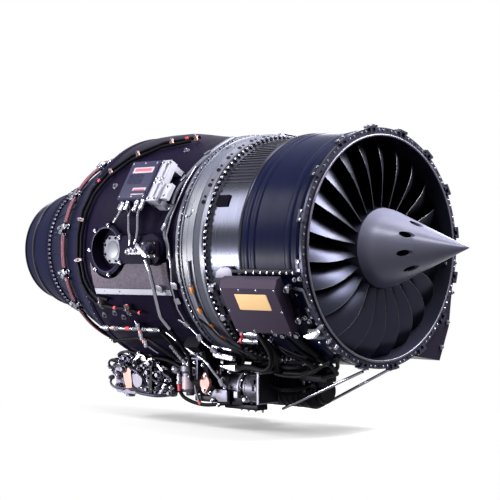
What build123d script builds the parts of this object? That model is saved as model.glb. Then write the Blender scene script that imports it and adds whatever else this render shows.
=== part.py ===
from build123d import *
import os
from math import cos, radians, sin, sqrt

os.makedirs("parts", exist_ok=True)

# Turbofan jet engine, millimetres.
# X runs forward along the shafts, Z is up, -Y is the engine's right-hand side.
# The origin is the centre of the inlet flange's front face.
# An angle called clock starts at the top and turns towards the right-hand side.

# Driving dimensions
flange_radius = 465
fan_bore = 433
case_wall = 9
case_end = -531
wrap_radius = 457
frame_radius = 468
frame_end = -668
duct_radius = 494
duct_end = -1240
cone_end = -1706
nozzle_end = -1962
nozzle_inlet_radius = 289
nozzle_exit_radius = 231

# Fan
blade_count = 22
blade_pitch = 360 / blade_count
first_blade = 12.2
hub_front = 155
hub_rear = 188
hub_length = 105
blade_tip = 431.5
spinner_tip = 411
spinner_hole_circle = 92
spinner_hole = 12

# Bypass and core flow path
splitter_radius = 262
core_cowl_radius = 335
mixer_front = -1565
mixer_end = -1740
mixer_lobes = 12

# The bypass duct's outer profile, (x, radius): it swells behind the frame and draws in at the rear
duct_profile = [
    (-684, 466),
    (-780, 470),
    (-880, 480),
    (-960, 491),
    (-1020, 498),
    (-1110, 497),
    (-1170, 494),
    (-1228, 487),
]


def around_axis(count, start=0):
    """Places that repeat a piece round the engine axis, the first one at the clock angle start."""
    return Locations(*[Location((0, 0, 0), (start + 360 * i / count, 0, 0)) for i in range(count)])


def station(x, clock, radius):
    """A plane that touches the cylinder of this radius: local x is forward, local z is outward."""
    out = Vector(0, -sin(radians(clock)), cos(radians(clock)))
    return Plane(origin=Vector(x, 0, 0) + out * radius, x_dir=(1, 0, 0), z_dir=out)


def spot(x, clock, radius):
    """The point at this clock angle and radius."""
    return (x, -radius * sin(radians(clock)), radius * cos(radians(clock)))


def outline(*corners):
    """A closed face with straight edges."""
    with BuildLine() as edge:
        Polyline(*corners, close=True)
    make_face(edge.edges())


def ring(*corners, mode=Mode.ADD):
    """A turned part: the corners are (x, radius)."""
    with BuildSketch(Plane.XZ) as profile:
        outline(*corners)
    revolve(profile.sketch, axis=Axis.X, mode=mode)


def block(plane, width, height, depth, start=0, mode=Mode.ADD):
    """A box on a plane, centred on it, from start to start + depth along its normal."""
    with BuildSketch(plane.offset(start)) as profile:
        Rectangle(width, height)
    extrude(profile.sketch, amount=depth, mode=mode)


def disc(plane, radius, depth, start=0, mode=Mode.ADD):
    """A round boss on a plane, from start to start + depth along its normal."""
    with BuildSketch(plane.offset(start)) as profile:
        Circle(radius)
    extrude(profile.sketch, amount=depth, mode=mode)


def turned(plane, *profile, mode=Mode.ADD):
    """A turned piece on a plane's normal: the profile is (radius, height)."""
    side = Plane(origin=plane.origin, x_dir=plane.x_dir, z_dir=-plane.y_dir)
    with BuildSketch(side) as section:
        outline((0, profile[0][1]), *profile, (0, profile[-1][1]))
    revolve(section.sketch, axis=Axis(plane.origin, plane.z_dir), mode=mode)


def bar(start, end, radius):
    """A round bar between two points."""
    axis = Vector(*end) - Vector(*start)
    disc(Plane(origin=start, z_dir=axis), radius, axis.length)


def pipe(radius, bend, *points):
    """A round tube along straight runs with rounded bends."""
    with BuildLine() as route:
        path = FilletPolyline(*points, radius=bend)
    with BuildSketch(Plane(origin=path @ 0, z_dir=path % 0)) as section:
        Circle(radius)
    sweep(section.sketch, path=path)


def lens(lead, trail, bulge, thickness):
    """A blade section: two arcs from the leading to the trailing edge."""
    lead = Vector(*lead)
    trail = Vector(*trail)
    chord = trail - lead
    normal = Vector(-chord.Y, chord.X).normalized()
    middle = (lead + trail) * 0.5
    with BuildLine() as edge:
        ThreePointArc(lead, middle + normal * (bulge + thickness / 2), trail)
        ThreePointArc(trail, middle + normal * (bulge - thickness / 2), lead)
    make_face(edge.edges())


def barrel(lift):
    """The duct's outer profile, raised by this much."""
    return [(x, radius + lift) for x, radius in duct_profile]


def fit_to_duct():
    """Cuts a piece back to the duct's skin, with a thin seating gap."""
    gap = 0.2
    corners = [(frame_end, 0), (frame_end, 466 + gap), *barrel(gap), (duct_end - 20, 480), (duct_end - 20, 0)]
    ring(*corners, mode=Mode.SUBTRACT)


def save(part, label):
    part.label = label
    export_step(part, f"parts/{label}.step")


# Fan case: one turned forging, with the inlet flange and the rear flange
with BuildPart() as fan_case:
    ring(
        (7, fan_bore),
        (7, fan_bore + case_wall - 2),
        (0, fan_bore + case_wall - 2),
        (0, flange_radius),
        (-10, flange_radius),
        (-14, fan_bore + case_wall),
        (case_end + 30, fan_bore + case_wall),
        (case_end + 12, flange_radius - 15),
        (case_end + 12, flange_radius - 4),
        (case_end, flange_radius - 4),
        (case_end, fan_bore),
    )
    with around_axis(16, 19.25):
        with Locations((-5, 0, flange_radius - 11)):
            Cylinder(4.2, 14, rotation=(0, 90, 0), mode=Mode.SUBTRACT)
save(fan_case.part, "fan_case")

# Containment wrap: a wound barrel with a turned-up rear edge
with BuildPart() as containment_wrap:
    ring(
        (-24, fan_bore + case_wall),
        (-24, wrap_radius - 3),
        (-34, wrap_radius),
        (-318, wrap_radius),
        (-320, wrap_radius + 2),
        (-329, wrap_radius + 2),
        (-332, fan_bore + case_wall),
    )
save(containment_wrap.part, "containment_wrap")

# Inlet clips: forks over the inlet flange that hold the cowl's latches
with BuildPart() as inlet_clips:
    with around_axis(16, 8):
        with Locations((-7, 0, flange_radius + 4.5)):
            Box(32, 46, 9)
        with Locations((4, -14, flange_radius - 6)):
            Box(8, 10, 12)
        with Locations((4, 14, flange_radius - 6)):
            Box(8, 10, 12)
save(inlet_clips.part, "inlet_clips")

# Spinner: a hollow cone on a flange, with eight pockets for its bolts
with BuildPart() as spinner:
    with BuildSketch(Plane.XZ):
        with BuildLine():
            Line((0, 80), (0, hub_front - 1))
            Line((0, hub_front - 1), (4, hub_front))
            ThreePointArc((4, hub_front), (38, 147), (70, 135))
            Line((70, 135), (spinner_tip, 0))
            Line((spinner_tip, 0), (spinner_tip - 24, 0))
            Line((spinner_tip - 24, 0), (68, 130))
            Line((68, 130), (8, 148))
            Line((8, 148), (8, 80))
            Line((8, 80), (0, 80))
        make_face()
    revolve(axis=Axis.X)
    with around_axis(8, 12):
        with Locations((214, 0, spinner_hole_circle)):
            Cylinder(spinner_hole, 400, rotation=(0, 90, 0), mode=Mode.SUBTRACT)
save(spinner.part, "spinner")

# Fan disc: hub, web and rim, with a straight dovetail slot for each blade
root_profile = [(-8, 160), (8, 160), (8, 138), (13, 120), (-13, 120), (-8, 138)]
platform = 8
with BuildPart() as slot:
    with BuildSketch(Plane.YZ.offset(-hub_length - 10)):
        outline(*[(y, 210 if z == 160 else z) for y, z in root_profile])
    extrude(amount=hub_length + 20)
with BuildPart() as fan_disc:
    ring(
        (0, 80),
        (0, hub_front - platform),
        (-hub_length, hub_rear - platform),
        (-hub_length, 108),
        (-76, 100),
        (-76, 86),
        (-92, 82),
        (-92, 62),
        (-24, 62),
        (-24, 82),
        (-44, 86),
        (-44, 100),
        (-12, 106),
        (-12, 80),
    )
    with around_axis(blade_count, first_blade):
        add(slot.part, mode=Mode.SUBTRACT)
save(fan_disc.part, "fan_disc")

# Fan blade sections: radius, leading edge x, lean towards the turn, chord, stagger, bulge, thickness
blade_sections = [
    (146, -4, 18, 102, 17, 7.5, 10),
    (218, 3, 25, 116, 33, 7, 8.5),
    (287, 4, 30, 132, 45, 6, 7),
    (356, -13, 28, 146, 54, 4.5, 5.5),
    (432, -62, 12, 152, 61.5, 2.6, 3.6),
]

# Fan blade: a twisted, swept aerofoil on a platform with a dovetail root
with BuildPart() as blade:
    for radius, lead_x, lean, chord, stagger, bulge, thickness in blade_sections:
        lead = (lead_x, -lean)
        trail = (lead_x - chord * cos(radians(stagger)), -lean + chord * sin(radians(stagger)))
        with BuildSketch(Plane.XY.offset(radius)):
            lens(lead, trail, -bulge, thickness)
    loft()
    ring((-400, 0), (-400, blade_tip), (200, blade_tip), (200, 0), mode=Mode.INTERSECT)
    ring(
        (5, 0),
        (5, hub_front - 2),
        (-hub_length - 20, hub_rear + 4),
        (-hub_length - 20, 0),
        mode=Mode.SUBTRACT,
    )
    with BuildSketch(Plane.XZ.rotated((0.1 - blade_pitch / 2, 0, 0))):
        outline(
            (0, hub_front - platform),
            (0, hub_front),
            (-hub_length, hub_rear),
            (-hub_length, hub_rear - platform),
        )
    revolve(axis=Axis.X, revolution_arc=blade_pitch - 0.2)
    with BuildSketch(Plane.YZ):
        outline(*[(y, 150 if z == 160 else z) for y, z in root_profile])
    extrude(amount=-hub_length)
with BuildPart() as fan_blades:
    with around_axis(blade_count, first_blade):
        add(blade.part)
save(fan_blades.part, "fan_blades")

# Fan shaft: the long inner shaft with the fan flange in front
shaft_front = -96
turbine_front = -1300
with BuildPart() as fan_shaft:
    ring(
        (-24, 40),
        (-24, 62),
        (-92, 62),
        (-92, 82),
        (-104, 82),
        (-104, 58),
        (-200, 58),
        (-330, 50),
        (-420, 34),
        (turbine_front - 40, 34),
        (turbine_front - 40, 44),
        (-1526, 44),
        (-1526, 28),
        (-430, 24),
        (-340, 40),
    )
save(fan_shaft.part, "fan_shaft")


def blade_row(count, x, hub, tip, chord, stagger, thickness):
    """A row of straight blades standing on a rim."""
    lead = (x + chord / 2 * cos(radians(stagger)), -chord / 2 * sin(radians(stagger)))
    trail = (x - chord / 2 * cos(radians(stagger)), chord / 2 * sin(radians(stagger)))
    with BuildPart() as one:
        with BuildSketch(Plane.XY.offset(hub - 2)):
            lens(lead, trail, -thickness, thickness)
        extrude(amount=tip - hub + 2)
    with around_axis(count):
        add(one.part)


# Fan turbine rotor: three bladed discs on one drum
fan_turbine_stages = [(-1330, 171, 210), (-1385, 175, 226), (-1440, 178, 242)]
with BuildPart() as fan_turbine:
    ring(
        (-1312, 150),
        (-1312, 172),
        (-1348, 173),
        (-1458, 181),
        (-1458, 160),
        (-1396, 156),
        (-1396, 60),
        (-1410, 44),
        (-1360, 44),
        (-1374, 60),
        (-1374, 152),
    )
    for x, hub, tip in fan_turbine_stages:
        blade_row(32, x, hub, tip, 30, -25, 3)
save(fan_turbine.part, "fan_turbine")

# Core compressor rotor: four axial stages on a drum and a centrifugal impeller
with BuildPart() as core_compressor:
    ring(
        (-676, 60),
        (-676, 118),
        (-860, 150),
        (-870, 112),
        (-840, 100),
        (-700, 72),
        (-700, 60),
    )
    for i in range(4):
        blade_row(26, -696 - 46 * i, 120 + 8 * i, 184 - 4 * i, 28, 40, 2)
save(core_compressor.part, "core_compressor")

with BuildPart() as impeller_vane:
    with BuildSketch(Plane.XZ):
        with BuildLine():
            Line((-882, 116), (-882, 168))
            ThreePointArc((-882, 168), (-930, 180), (-950, 214))
            Line((-950, 214), (-964, 214))
            Line((-964, 214), (-964, 190))
            Line((-964, 190), (-882, 116))
        make_face()
    extrude(amount=1.2, both=True)
with BuildPart() as core_impeller:
    with BuildSketch(Plane.XZ):
        with BuildLine():
            Line((-872, 60), (-872, 118))
            ThreePointArc((-872, 118), (-934, 142), (-962, 218))
            Line((-962, 218), (-972, 218))
            ThreePointArc((-972, 218), (-986, 110), (-1010, 60))
            Line((-1010, 60), (-872, 60))
        make_face()
    revolve(axis=Axis.X)
    with around_axis(18):
        add(impeller_vane.part)
save(core_impeller.part, "core_impeller")

# Core shaft: the outer shaft that the fan shaft runs through
with BuildPart() as core_shaft:
    ring((-634, 38), (-634, 50), (-664, 50), (-672, 60), (-1010, 60), (-1030, 50), (-1270, 50), (-1270, 38))
save(core_shaft.part, "core_shaft")

# Core turbine rotor: two bladed discs
with BuildPart() as core_turbine:
    for face in (-1186, -1236):
        ring(
            (face, 50),
            (face - 4, 90),
            (face + 2, 160),
            (face + 2, 168),
            (face - 28, 168),
            (face - 28, 160),
            (face - 22, 90),
            (face - 26, 50),
        )
        blade_row(28, face - 13, 166, 200, 24, -25, 3)
save(core_turbine.part, "core_turbine")

# Bearings
with BuildPart() as front_bearing:
    ring((-150, 58.05), (-150, 84), (-182, 84), (-182, 58.05))
save(front_bearing.part, "front_bearing")

with BuildPart() as core_bearing:
    ring((-640, 50.05), (-640, 60), (-660, 60), (-660, 50.05))
save(core_bearing.part, "core_bearing")

with BuildPart() as rear_bearing:
    ring((-1494, 44.05), (-1494, 62), (-1518, 62), (-1518, 44.05))
save(rear_bearing.part, "rear_bearing")

# Bypass stator: outlet guide vanes between a sleeve and the core splitter
with BuildPart() as guide_vane:
    with BuildSketch(Plane.XY.offset(splitter_radius - 3)):
        lens((-292, -9), (-392, 9), 10, 7)
    extrude(amount=fan_bore - splitter_radius + 1)
with BuildPart() as bypass_stator:
    ring((-285, fan_bore - 5), (-285, fan_bore), (-400, fan_bore), (-400, fan_bore - 5))
    ring(
        (-285, splitter_radius - 7),
        (-285, splitter_radius),
        (-400, splitter_radius),
        (-400, splitter_radius - 7),
    )
    with around_axis(36):
        add(guide_vane.part)
save(bypass_stator.part, "bypass_stator")

# Core splitter: the ring that parts the core flow from the bypass flow
with BuildPart() as core_splitter:
    ring(
        (-200, 247),
        (-285, splitter_radius - 7),
        (-400, splitter_radius - 7),
        (-400, splitter_radius),
        (case_end, 270),
        (case_end, 205),
        (case_end + 60, 210),
        (-320, 235),
    )
save(core_splitter.part, "core_splitter")

# Hub fairing: carries the flow from the fan hub to the core inlet and houses the front bearing
with BuildPart() as hub_fairing:
    ring(
        (-112, 150),
        (-112, hub_rear - 1),
        (-300, 170),
        (case_end, 116),
        (case_end, 84),
        (-182, 84),
        (-150, 84),
        (-150, 100),
        (-182, 104),
        (-400, 104),
        (-280, 150),
    )
save(hub_fairing.part, "hub_fairing")

# Intermediate frame: the grey cast ring, its struts and the inner hub
with BuildPart() as frame_strut:
    with BuildSketch(Plane.XY.offset(95)):
        lens((-562, 0), (-646, 0), 0, 18)
    extrude(amount=360)
with BuildPart() as intermediate_frame:
    ring(
        (case_end, fan_bore),
        (case_end, flange_radius - 4),
        (case_end - 12, flange_radius - 4),
        (case_end - 12, flange_radius - 10),
        (case_end - 40, frame_radius),
        (case_end - 74, frame_radius),
        (case_end - 82, frame_radius - 4),
        (frame_end + 13, frame_radius - 4),
        (frame_end + 13, 473),
        (frame_end, 473),
        (frame_end, 452),
        (case_end - 60, 446),
    )
    ring((case_end, 205), (case_end, 270), (frame_end, 310), (frame_end, 303), (frame_end, 190))
    ring(
        (case_end, 84),
        (case_end, 116),
        (frame_end, 112),
        (frame_end, 60),
        (frame_end + 30, 60),
        (frame_end + 30, 84),
    )
    with around_axis(8, 22.5):
        add(frame_strut.part)
    mount_face = station(-600, 270, 456)
    for y in (-55, 55):
        disc(Plane(mount_face.location * Location((0, y, 0))), 9.5, 16, mode=Mode.SUBTRACT)
save(intermediate_frame.part, "intermediate_frame")

# Bypass duct: the dark outer barrel, with an opening for the port casting
port_x = -1053
port_clock = 90.5
well_radius = 95
with BuildPart() as bypass_duct:
    ring(
        (frame_end, 452),
        (frame_end, 473),
        (frame_end - 14, 473),
        *barrel(0),
        (duct_end + 10, 490),
        (duct_end, 490),
        (duct_end, 478),
        *reversed(barrel(-7)),
    )
    disc(station(port_x, port_clock, 400), well_radius, 120, mode=Mode.SUBTRACT)
save(bypass_duct.part, "bypass_duct")

# Exhaust cone: carries the bypass air in to the mixer
with BuildPart() as exhaust_cone:
    ring(
        (duct_end, 478),
        (duct_end, 490),
        (duct_end - 10, 490),
        (duct_end - 12, 484),
        (duct_end - 40, 476),
        (duct_end - 58, 462),
        (cone_end + 16, nozzle_inlet_radius + 9),
        (cone_end + 14, 308),
        (cone_end, 308),
        (cone_end, nozzle_inlet_radius - 6),
        (cone_end + 20, nozzle_inlet_radius + 1),
        (duct_end - 60, 454),
    )
save(exhaust_cone.part, "exhaust_cone")

# Exhaust nozzle
with BuildPart() as exhaust_nozzle:
    with BuildSketch(Plane.XZ):
        with BuildLine():
            Line((cone_end, nozzle_inlet_radius - 6), (cone_end, 308))
            Line((cone_end, 308), (cone_end - 10, 308))
            Line((cone_end - 10, 308), (cone_end - 12, nozzle_inlet_radius + 3))
            ThreePointArc(
                (cone_end - 12, nozzle_inlet_radius + 3),
                (-1840, 266),
                (nozzle_end, nozzle_exit_radius),
            )
            Line((nozzle_end, nozzle_exit_radius), (nozzle_end, nozzle_exit_radius - 4))
            ThreePointArc(
                (nozzle_end, nozzle_exit_radius - 4),
                (-1840, 260),
                (cone_end, nozzle_inlet_radius - 6),
            )
        make_face()
    revolve(axis=Axis.X)
save(exhaust_nozzle.part, "exhaust_nozzle")

# Core cowl: the inner wall of the bypass duct
with BuildPart() as core_cowl:
    ring(
        (frame_end, 304),
        (frame_end, 310),
        (-900, core_cowl_radius),
        (-1250, core_cowl_radius),
        (mixer_front, 290),
        (mixer_front, 284),
        (-1250, core_cowl_radius - 5),
        (-900, core_cowl_radius - 5),
    )
save(core_cowl.part, "core_cowl")

# Compressor case
with BuildPart() as compressor_case:
    ring(
        (frame_end, 190),
        (frame_end, 215),
        (frame_end - 10, 215),
        (frame_end - 12, 198),
        (-860, 182),
        (-905, 200),
        (-955, 232),
        (-955, 262),
        (-965, 262),
        (-965, 224),
        (-880, 176),
        (-860, 172),
    )
save(compressor_case.part, "compressor_case")

# Combustor case
with BuildPart() as combustor_case:
    ring(
        (-965, 224),
        (-965, 262),
        (-975, 262),
        (-985, 290),
        (-1150, 290),
        (-1165, 250),
        (-1165, 225),
        (-1155, 225),
        (-1155, 252),
        (-1142, 282),
        (-990, 282),
        (-978, 250),
        (-978, 224),
    )
    with around_axis(14, 12):
        with Locations((-1002, 0, 290)):
            Cylinder(7, 30, mode=Mode.SUBTRACT)
save(combustor_case.part, "combustor_case")

# Combustor liner
with BuildPart() as combustor_liner:
    ring((-1010, 180), (-1010, 262), (-1120, 262), (-1160, 212), (-1160, 170), (-1110, 172))
    ring(
        (-1014, 184),
        (-1014, 258),
        (-1118, 258),
        (-1165, 208),
        (-1165, 174),
        (-1110, 176),
        mode=Mode.SUBTRACT,
    )
save(combustor_liner.part, "combustor_liner")

# Turbine case
with BuildPart() as turbine_case:
    ring(
        (-1165, 205),
        (-1165, 250),
        (-1176, 250),
        (-1178, 212),
        (-1280, 214),
        (-1465, 264),
        (-1465, 280),
        (-1476, 280),
        (-1476, 256),
        (-1455, 254),
        (-1290, 206),
    )
save(turbine_case.part, "turbine_case")

# Turbine rear frame: outer ring, struts and bearing hub
with BuildPart() as rear_strut:
    with BuildSketch(Plane.XY.offset(164)):
        lens((-1488, 0), (-1556, 0), 0, 14)
    extrude(amount=106)
with BuildPart() as rear_frame:
    ring(
        (-1476, 256),
        (-1476, 280),
        (-1486, 280),
        (-1488, 268),
        (mixer_front, 284),
        (mixer_front, 278),
        (-1490, 260),
    )
    ring(
        (-1476, 150),
        (-1476, 182),
        (mixer_front, 168),
        (mixer_front, 160),
        (-1490, 160),
        (-1490, 62),
        (-1476, 48),
    )
    ring((-1488, 62), (-1488, 74), (-1522, 70), (-1522, 62))
    with around_axis(10, 18):
        add(rear_strut.part)
save(rear_frame.part, "rear_frame")

# Tail cone
with BuildPart() as tail_cone:
    with BuildSketch(Plane.XZ):
        with BuildLine():
            Line((mixer_front, 162), (mixer_front, 168))
            ThreePointArc((mixer_front, 168), (-1708, 118), (-1822, 26))
            Line((-1822, 26), (-1826, 0))
            Line((-1826, 0), (-1820, 0))
            Line((-1820, 0), (-1816, 24))
            ThreePointArc((-1816, 24), (-1704, 113), (mixer_front, 162))
        make_face()
    revolve(axis=Axis.X)
save(tail_cone.part, "tail_cone")

# Exhaust mixer: a lobed sheet ring that mixes the core and bypass flows
lobe_out = 256
lobe_in = 186


def lobed(x, outer, inner):
    """A lobed outline across the engine."""
    with BuildSketch(Plane.YZ.offset(x)) as section:
        corners = []
        for i in range(mixer_lobes * 4):
            angle = radians(i * 90 / mixer_lobes)
            reach = outer if i % 4 < 2 else inner
            corners.append((reach * sin(angle), reach * cos(angle)))
        outline(*corners)
    return section.sketch


with BuildPart() as exhaust_mixer:
    loft([lobed(mixer_front, 286, 284), lobed(mixer_end, lobe_out, lobe_in)], ruled=True)
    hollow = [lobed(mixer_front, 282, 280), lobed(mixer_end, lobe_out - 4, lobe_in - 4)]
    loft(hollow, ruled=True, mode=Mode.SUBTRACT)
save(exhaust_mixer.part, "exhaust_mixer")

# Port casting: a pear-shaped boss on the duct with a deep round well
well_depth = 48
with BuildPart() as port_casting:
    with BuildSketch(station(port_x, port_clock, duct_radius - 42)):
        Circle(106)
        with Locations((275, 0)):
            Circle(62)
        with Locations((140, 0)):
            Rectangle(270, 112)
    extrude(amount=54)
    for angle in range(30, 340, 50):
        ear = Location((103 * cos(radians(angle)), 103 * sin(radians(angle)), 0))
        disc(Plane(station(port_x, port_clock, duct_radius - 42).location * ear), 14, 56)
    fit_to_duct()
    disc(station(port_x, port_clock, duct_radius + 12 - well_depth), well_radius - 1, well_depth - 4)
    disc(station(port_x, port_clock, duct_radius + 12 - well_depth + 5), well_radius - 7, 60, mode=Mode.SUBTRACT)
save(port_casting.part, "port_casting")

# Port cover: the eight-sided plate at the bottom of the well
with BuildPart() as port_cover:
    with BuildSketch(station(port_x, port_clock, duct_radius + 12 - well_depth + 5)) as plate:
        RegularPolygon(61, 8, rotation=22.5)
    extrude(amount=7)
save(port_cover.part, "port_cover")

# Valve block beside the port, with its white manifold
with BuildPart() as valve_block:
    base = station(-770, port_clock, duct_radius + 12)
    block(base, 86, 62, 16)
    disc(Plane(base.location * Location((18, 4, 0))), 24, 30)
    disc(Plane(base.location * Location((-22, -12, 0))), 15, 24)
    block(Plane(base.location * Location((-84, -8, 0))), 84, 22, 22)
save(valve_block.part, "valve_block")

# Heat shield panel: woven blanket sheet below the port
with BuildPart() as heat_shield_panel:
    ring(*barrel(3), *reversed(barrel(9)))
    with BuildSketch(Plane.XZ):
        with Locations((-943, -110)):
            Rectangle(440, 106)
        with Locations((port_x, -4)):
            Circle(120, mode=Mode.SUBTRACT)
        with Locations((port_x + 275, -4)):
            Circle(66, mode=Mode.SUBTRACT)
        with Locations((port_x + 140, 0)):
            Rectangle(270, 124, mode=Mode.SUBTRACT)
    extrude(amount=600, mode=Mode.INTERSECT)
save(heat_shield_panel.part, "heat_shield_panel")

# Panel strip: the bright retaining strip under the panel
with BuildPart() as panel_strip:
    ring(*barrel(3), *reversed(barrel(12)))
    with BuildSketch(Plane.XZ) as cut:
        outline((-1158, -165), (-723, -165), (-723, -188), (-1158, -188))
    extrude(cut.sketch, amount=600, mode=Mode.INTERSECT)
save(panel_strip.part, "panel_strip")

# Exciter box on the duct, above the port
exciter_clock = 60
with BuildPart() as exciter_box:
    face = station(-880, exciter_clock, 508)
    block(face, 168, 180, 44)
    block(Plane(face.location * Location((30, -60, 0))), 90, 12, 50)
    for x, y in ((-68, -74), (-68, 74), (60, -74), (60, 74)):
        disc(Plane(face.location * Location((x, y, 0))), 9, 48, start=-48)
    fit_to_duct()
save(exciter_box.part, "exciter_box")

# Exciter bracket: a channel in bare aluminium at the front of the box
with BuildPart() as exciter_bracket:
    face = station(-768, exciter_clock, 508)
    block(face, 52, 190, 36)
    block(Plane(face.location * Location((16, 0, 0))), 22, 174, 10, start=30, mode=Mode.SUBTRACT)
    block(Plane(face.location * Location((48, -42, 0))), 44, 70, 20)
    for y in (-78, 78):
        block(Plane(face.location * Location((0, y, 0))), 44, 24, 50, start=-50)
    fit_to_duct()
save(exciter_bracket.part, "exciter_bracket")

# Ignition leads: two steel conduits from the exciter box to the igniters
with BuildPart() as ignition_leads:
    pipe(
        6,
        20,
        spot(-905, 70, 528),
        spot(-905, 76, 526),
        spot(-896, 82, 523),
        spot(-884, 86, 522),
        spot(-890, 88.5, 518),
    )
    pipe(
        6,
        20,
        spot(-850, 70, 528),
        spot(-850, 76, 526),
        spot(-842, 82, 523),
        spot(-846, 86, 522),
        spot(-862, 88, 518),
    )
save(ignition_leads.part, "ignition_leads")

# Control box on the fan case
box_clock = 119.5
box_rear = -380
box_length = 292
box_back = 470
box_face = 520
with BuildPart() as control_box:
    side = station(box_rear, box_clock, 0)
    with BuildSketch(Plane(origin=side.origin, x_dir=side.y_dir, z_dir=(1, 0, 0))):
        outline((-73, box_back), (-73, box_face), (120, box_face), (145, box_face - 25), (145, box_back))
    extrude(amount=box_length)
save(control_box.part, "control_box")

# Control box mounts: four shock mounts on lugs
with BuildPart() as control_box_mounts:
    for x, y in ((-234, 97), (160, 97), (-236, -35), (160, -35)):
        face = station(-231, box_clock, 462)
        side = Plane(face.location * Location((x, y, 0)))
        disc(side, 14, 16)
        disc(side, 6, 30)
save(control_box_mounts.part, "control_box_mounts")

# Control box rail: the bolted strip along the fan case above the box
with BuildPart() as control_box_rail:
    block(station(-176, 100.8, wrap_radius + 0.3), 270, 14, 7)
save(control_box_rail.part, "control_box_rail")

# Blank plate on the bare fan case
with BuildPart() as blank_plate:
    block(station(-467, 65.5, fan_bore + case_wall - 4), 64, 46, 7)
    ring((-600, 0), (-600, fan_bore + case_wall), (-400, fan_bore + case_wall), (-400, 0), mode=Mode.SUBTRACT)
save(blank_plate.part, "blank_plate")

# Accessory gearbox: a ribbed saddle casting under the duct, with an arm running aft
gearbox_front = -660
starter_place = (gearbox_front, -160, -560)
generator_place = (gearbox_front, 10, -572)
pump_place = (gearbox_front, 150, -560)
with BuildPart() as gearbox_arm:
    with BuildSketch(Plane.XZ):
        outline((-790, -500), (-1150, -512), (-1150, -590), (-1100, -606), (-790, -612))
    extrude(amount=120)
    fillet(gearbox_arm.edges().filter_by(Axis.Y), 12)
with BuildPart() as accessory_gearbox:
    with BuildSketch(Plane.YZ.offset(-790)) as saddle:
        with BuildLine():
            start = (-310, -410)
            end = (310, -410)
            Polyline(start, (-280, -540), (-170, -632), (170, -632), (280, -540), end)
            ThreePointArc(end, (0, -514), start)
        make_face()
    extrude(amount=118)
    for place, radius in ((starter_place, 74), (generator_place, 86), (pump_place, 66)):
        disc(Plane(origin=place, z_dir=(1, 0, 0)), radius, 130, start=-130)
    for y in (-262, -228, -82, 88, 226, 260):
        with Locations((-740, y, -478)):
            Box(112, 7, 110)
    add(gearbox_arm.part)
    for x in (-822, -916, -1020):
        with Locations((x, -60, -556)):
            Box(8, 132, 104)
    with Locations((-1069, -150, -560)):
        Box(20, 200, 116)
    for x, y in ((-840, -30), (-960, -90), (-730, -40), (-730, 90)):
        disc(Plane(origin=(x, y, -596), z_dir=(0, 0, -1)), 15, 46 if x > -800 else 22)
    for clock in (143, 217):
        block(station(-730, clock, frame_radius - 8), 90, 60, 60)
    fit_to_duct()
save(accessory_gearbox.part, "accessory_gearbox")

# Starter generator: a flanged drum on the front of the gearbox, with a clamped end bell
with BuildPart() as starter_generator:
    starter = Plane(origin=starter_place, z_dir=(1, 0, 0))
    turned(starter, (66, 0), (66, 9), (60, 13), (57, 22), (57, 84), (61, 88), (61, 96), (66, 98), (66, 106))
    turned(starter, (58, 100), (58, 120), (52, 128), (26, 132), (24, 140))
    for angle in (20, 110, 250):
        rib = Plane(starter.location * Location((0, 0, 22), (0, 0, angle)))
        block(Plane(rib.location * Location((58, 0, 0))), 9, 16, 62)
save(starter_generator.part, "starter_generator")

# Front generator: a ribbed barrel under the fan case, with an end bell and a terminal block
with BuildPart() as front_generator:
    generator = Plane(origin=generator_place, z_dir=(1, 0, 0))
    ribs = []
    for i in range(7):
        ribs += [(72, 44 + 34 * i), (72, 60 + 34 * i), (69, 62 + 34 * i), (69, 76 + 34 * i)]
    turned(generator, (78, 0), (78, 14), (74, 20), *ribs, (74, 286), (74, 308), (64, 330), (50, 336))
    turned(generator, (50, 330), (50, 362), (44, 370))
    block(Plane(origin=(-420, -50, -542), z_dir=(0, -1, 0), x_dir=(1, 0, 0)), 84, 48, 44)
save(front_generator.part, "front_generator")

# Hydraulic pump, with its port block
with BuildPart() as hydraulic_pump:
    pump = Plane(origin=pump_place, z_dir=(1, 0, 0))
    turned(pump, (60, 0), (60, 12), (48, 20), (48, 92), (53, 96), (53, 122), (44, 134), (22, 140), (22, 150))
    block(Plane(origin=(-586, 150, -570), z_dir=(0, 0, -1), x_dir=(1, 0, 0)), 52, 66, 58)
save(hydraulic_pump.part, "hydraulic_pump")

# Fuel control: a dense casting with valve caps, a servo cylinder and a lever shaft
with BuildPart() as fuel_control:
    with BuildSketch(Plane.XZ.offset(112)) as body:
        with Locations((-1270, -562)):
            RectangleRounded(142, 130, 20)
    extrude(body.sketch, amount=96)
    front = Plane(origin=(-1270, -205, -562), z_dir=(0, -1, 0), x_dir=(1, 0, 0))
    for x, y, radius, high in ((-40, 30, 30, 24), (38, -28, 26, 18), (36, 34, 17, 30), (-44, -36, 15, 22)):
        cap = Plane(front.location * Location((x, y, 0)))
        turned(cap, (radius, 0), (radius, high - 8), (radius - 5, high - 4), (radius * 0.5, high))
    servo = Plane(origin=(-1336, -160, -530), z_dir=(-1, 0, 0))
    turned(servo, (30, 0), (30, 10), (24, 14), (24, 48), (28, 52), (28, 60), (14, 66), (14, 74))
    crown = Plane(origin=(-1262, -168, -500), z_dir=(0, 0, 1))
    turned(crown, (34, 0), (34, 10), (24, 14), (24, 24), (12, 30))
    sump = Plane(origin=(-1290, -168, -624), z_dir=(0, 0, -1))
    turned(sump, (30, 0), (30, 8), (20, 12), (20, 20))
save(fuel_control.part, "fuel_control")

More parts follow.
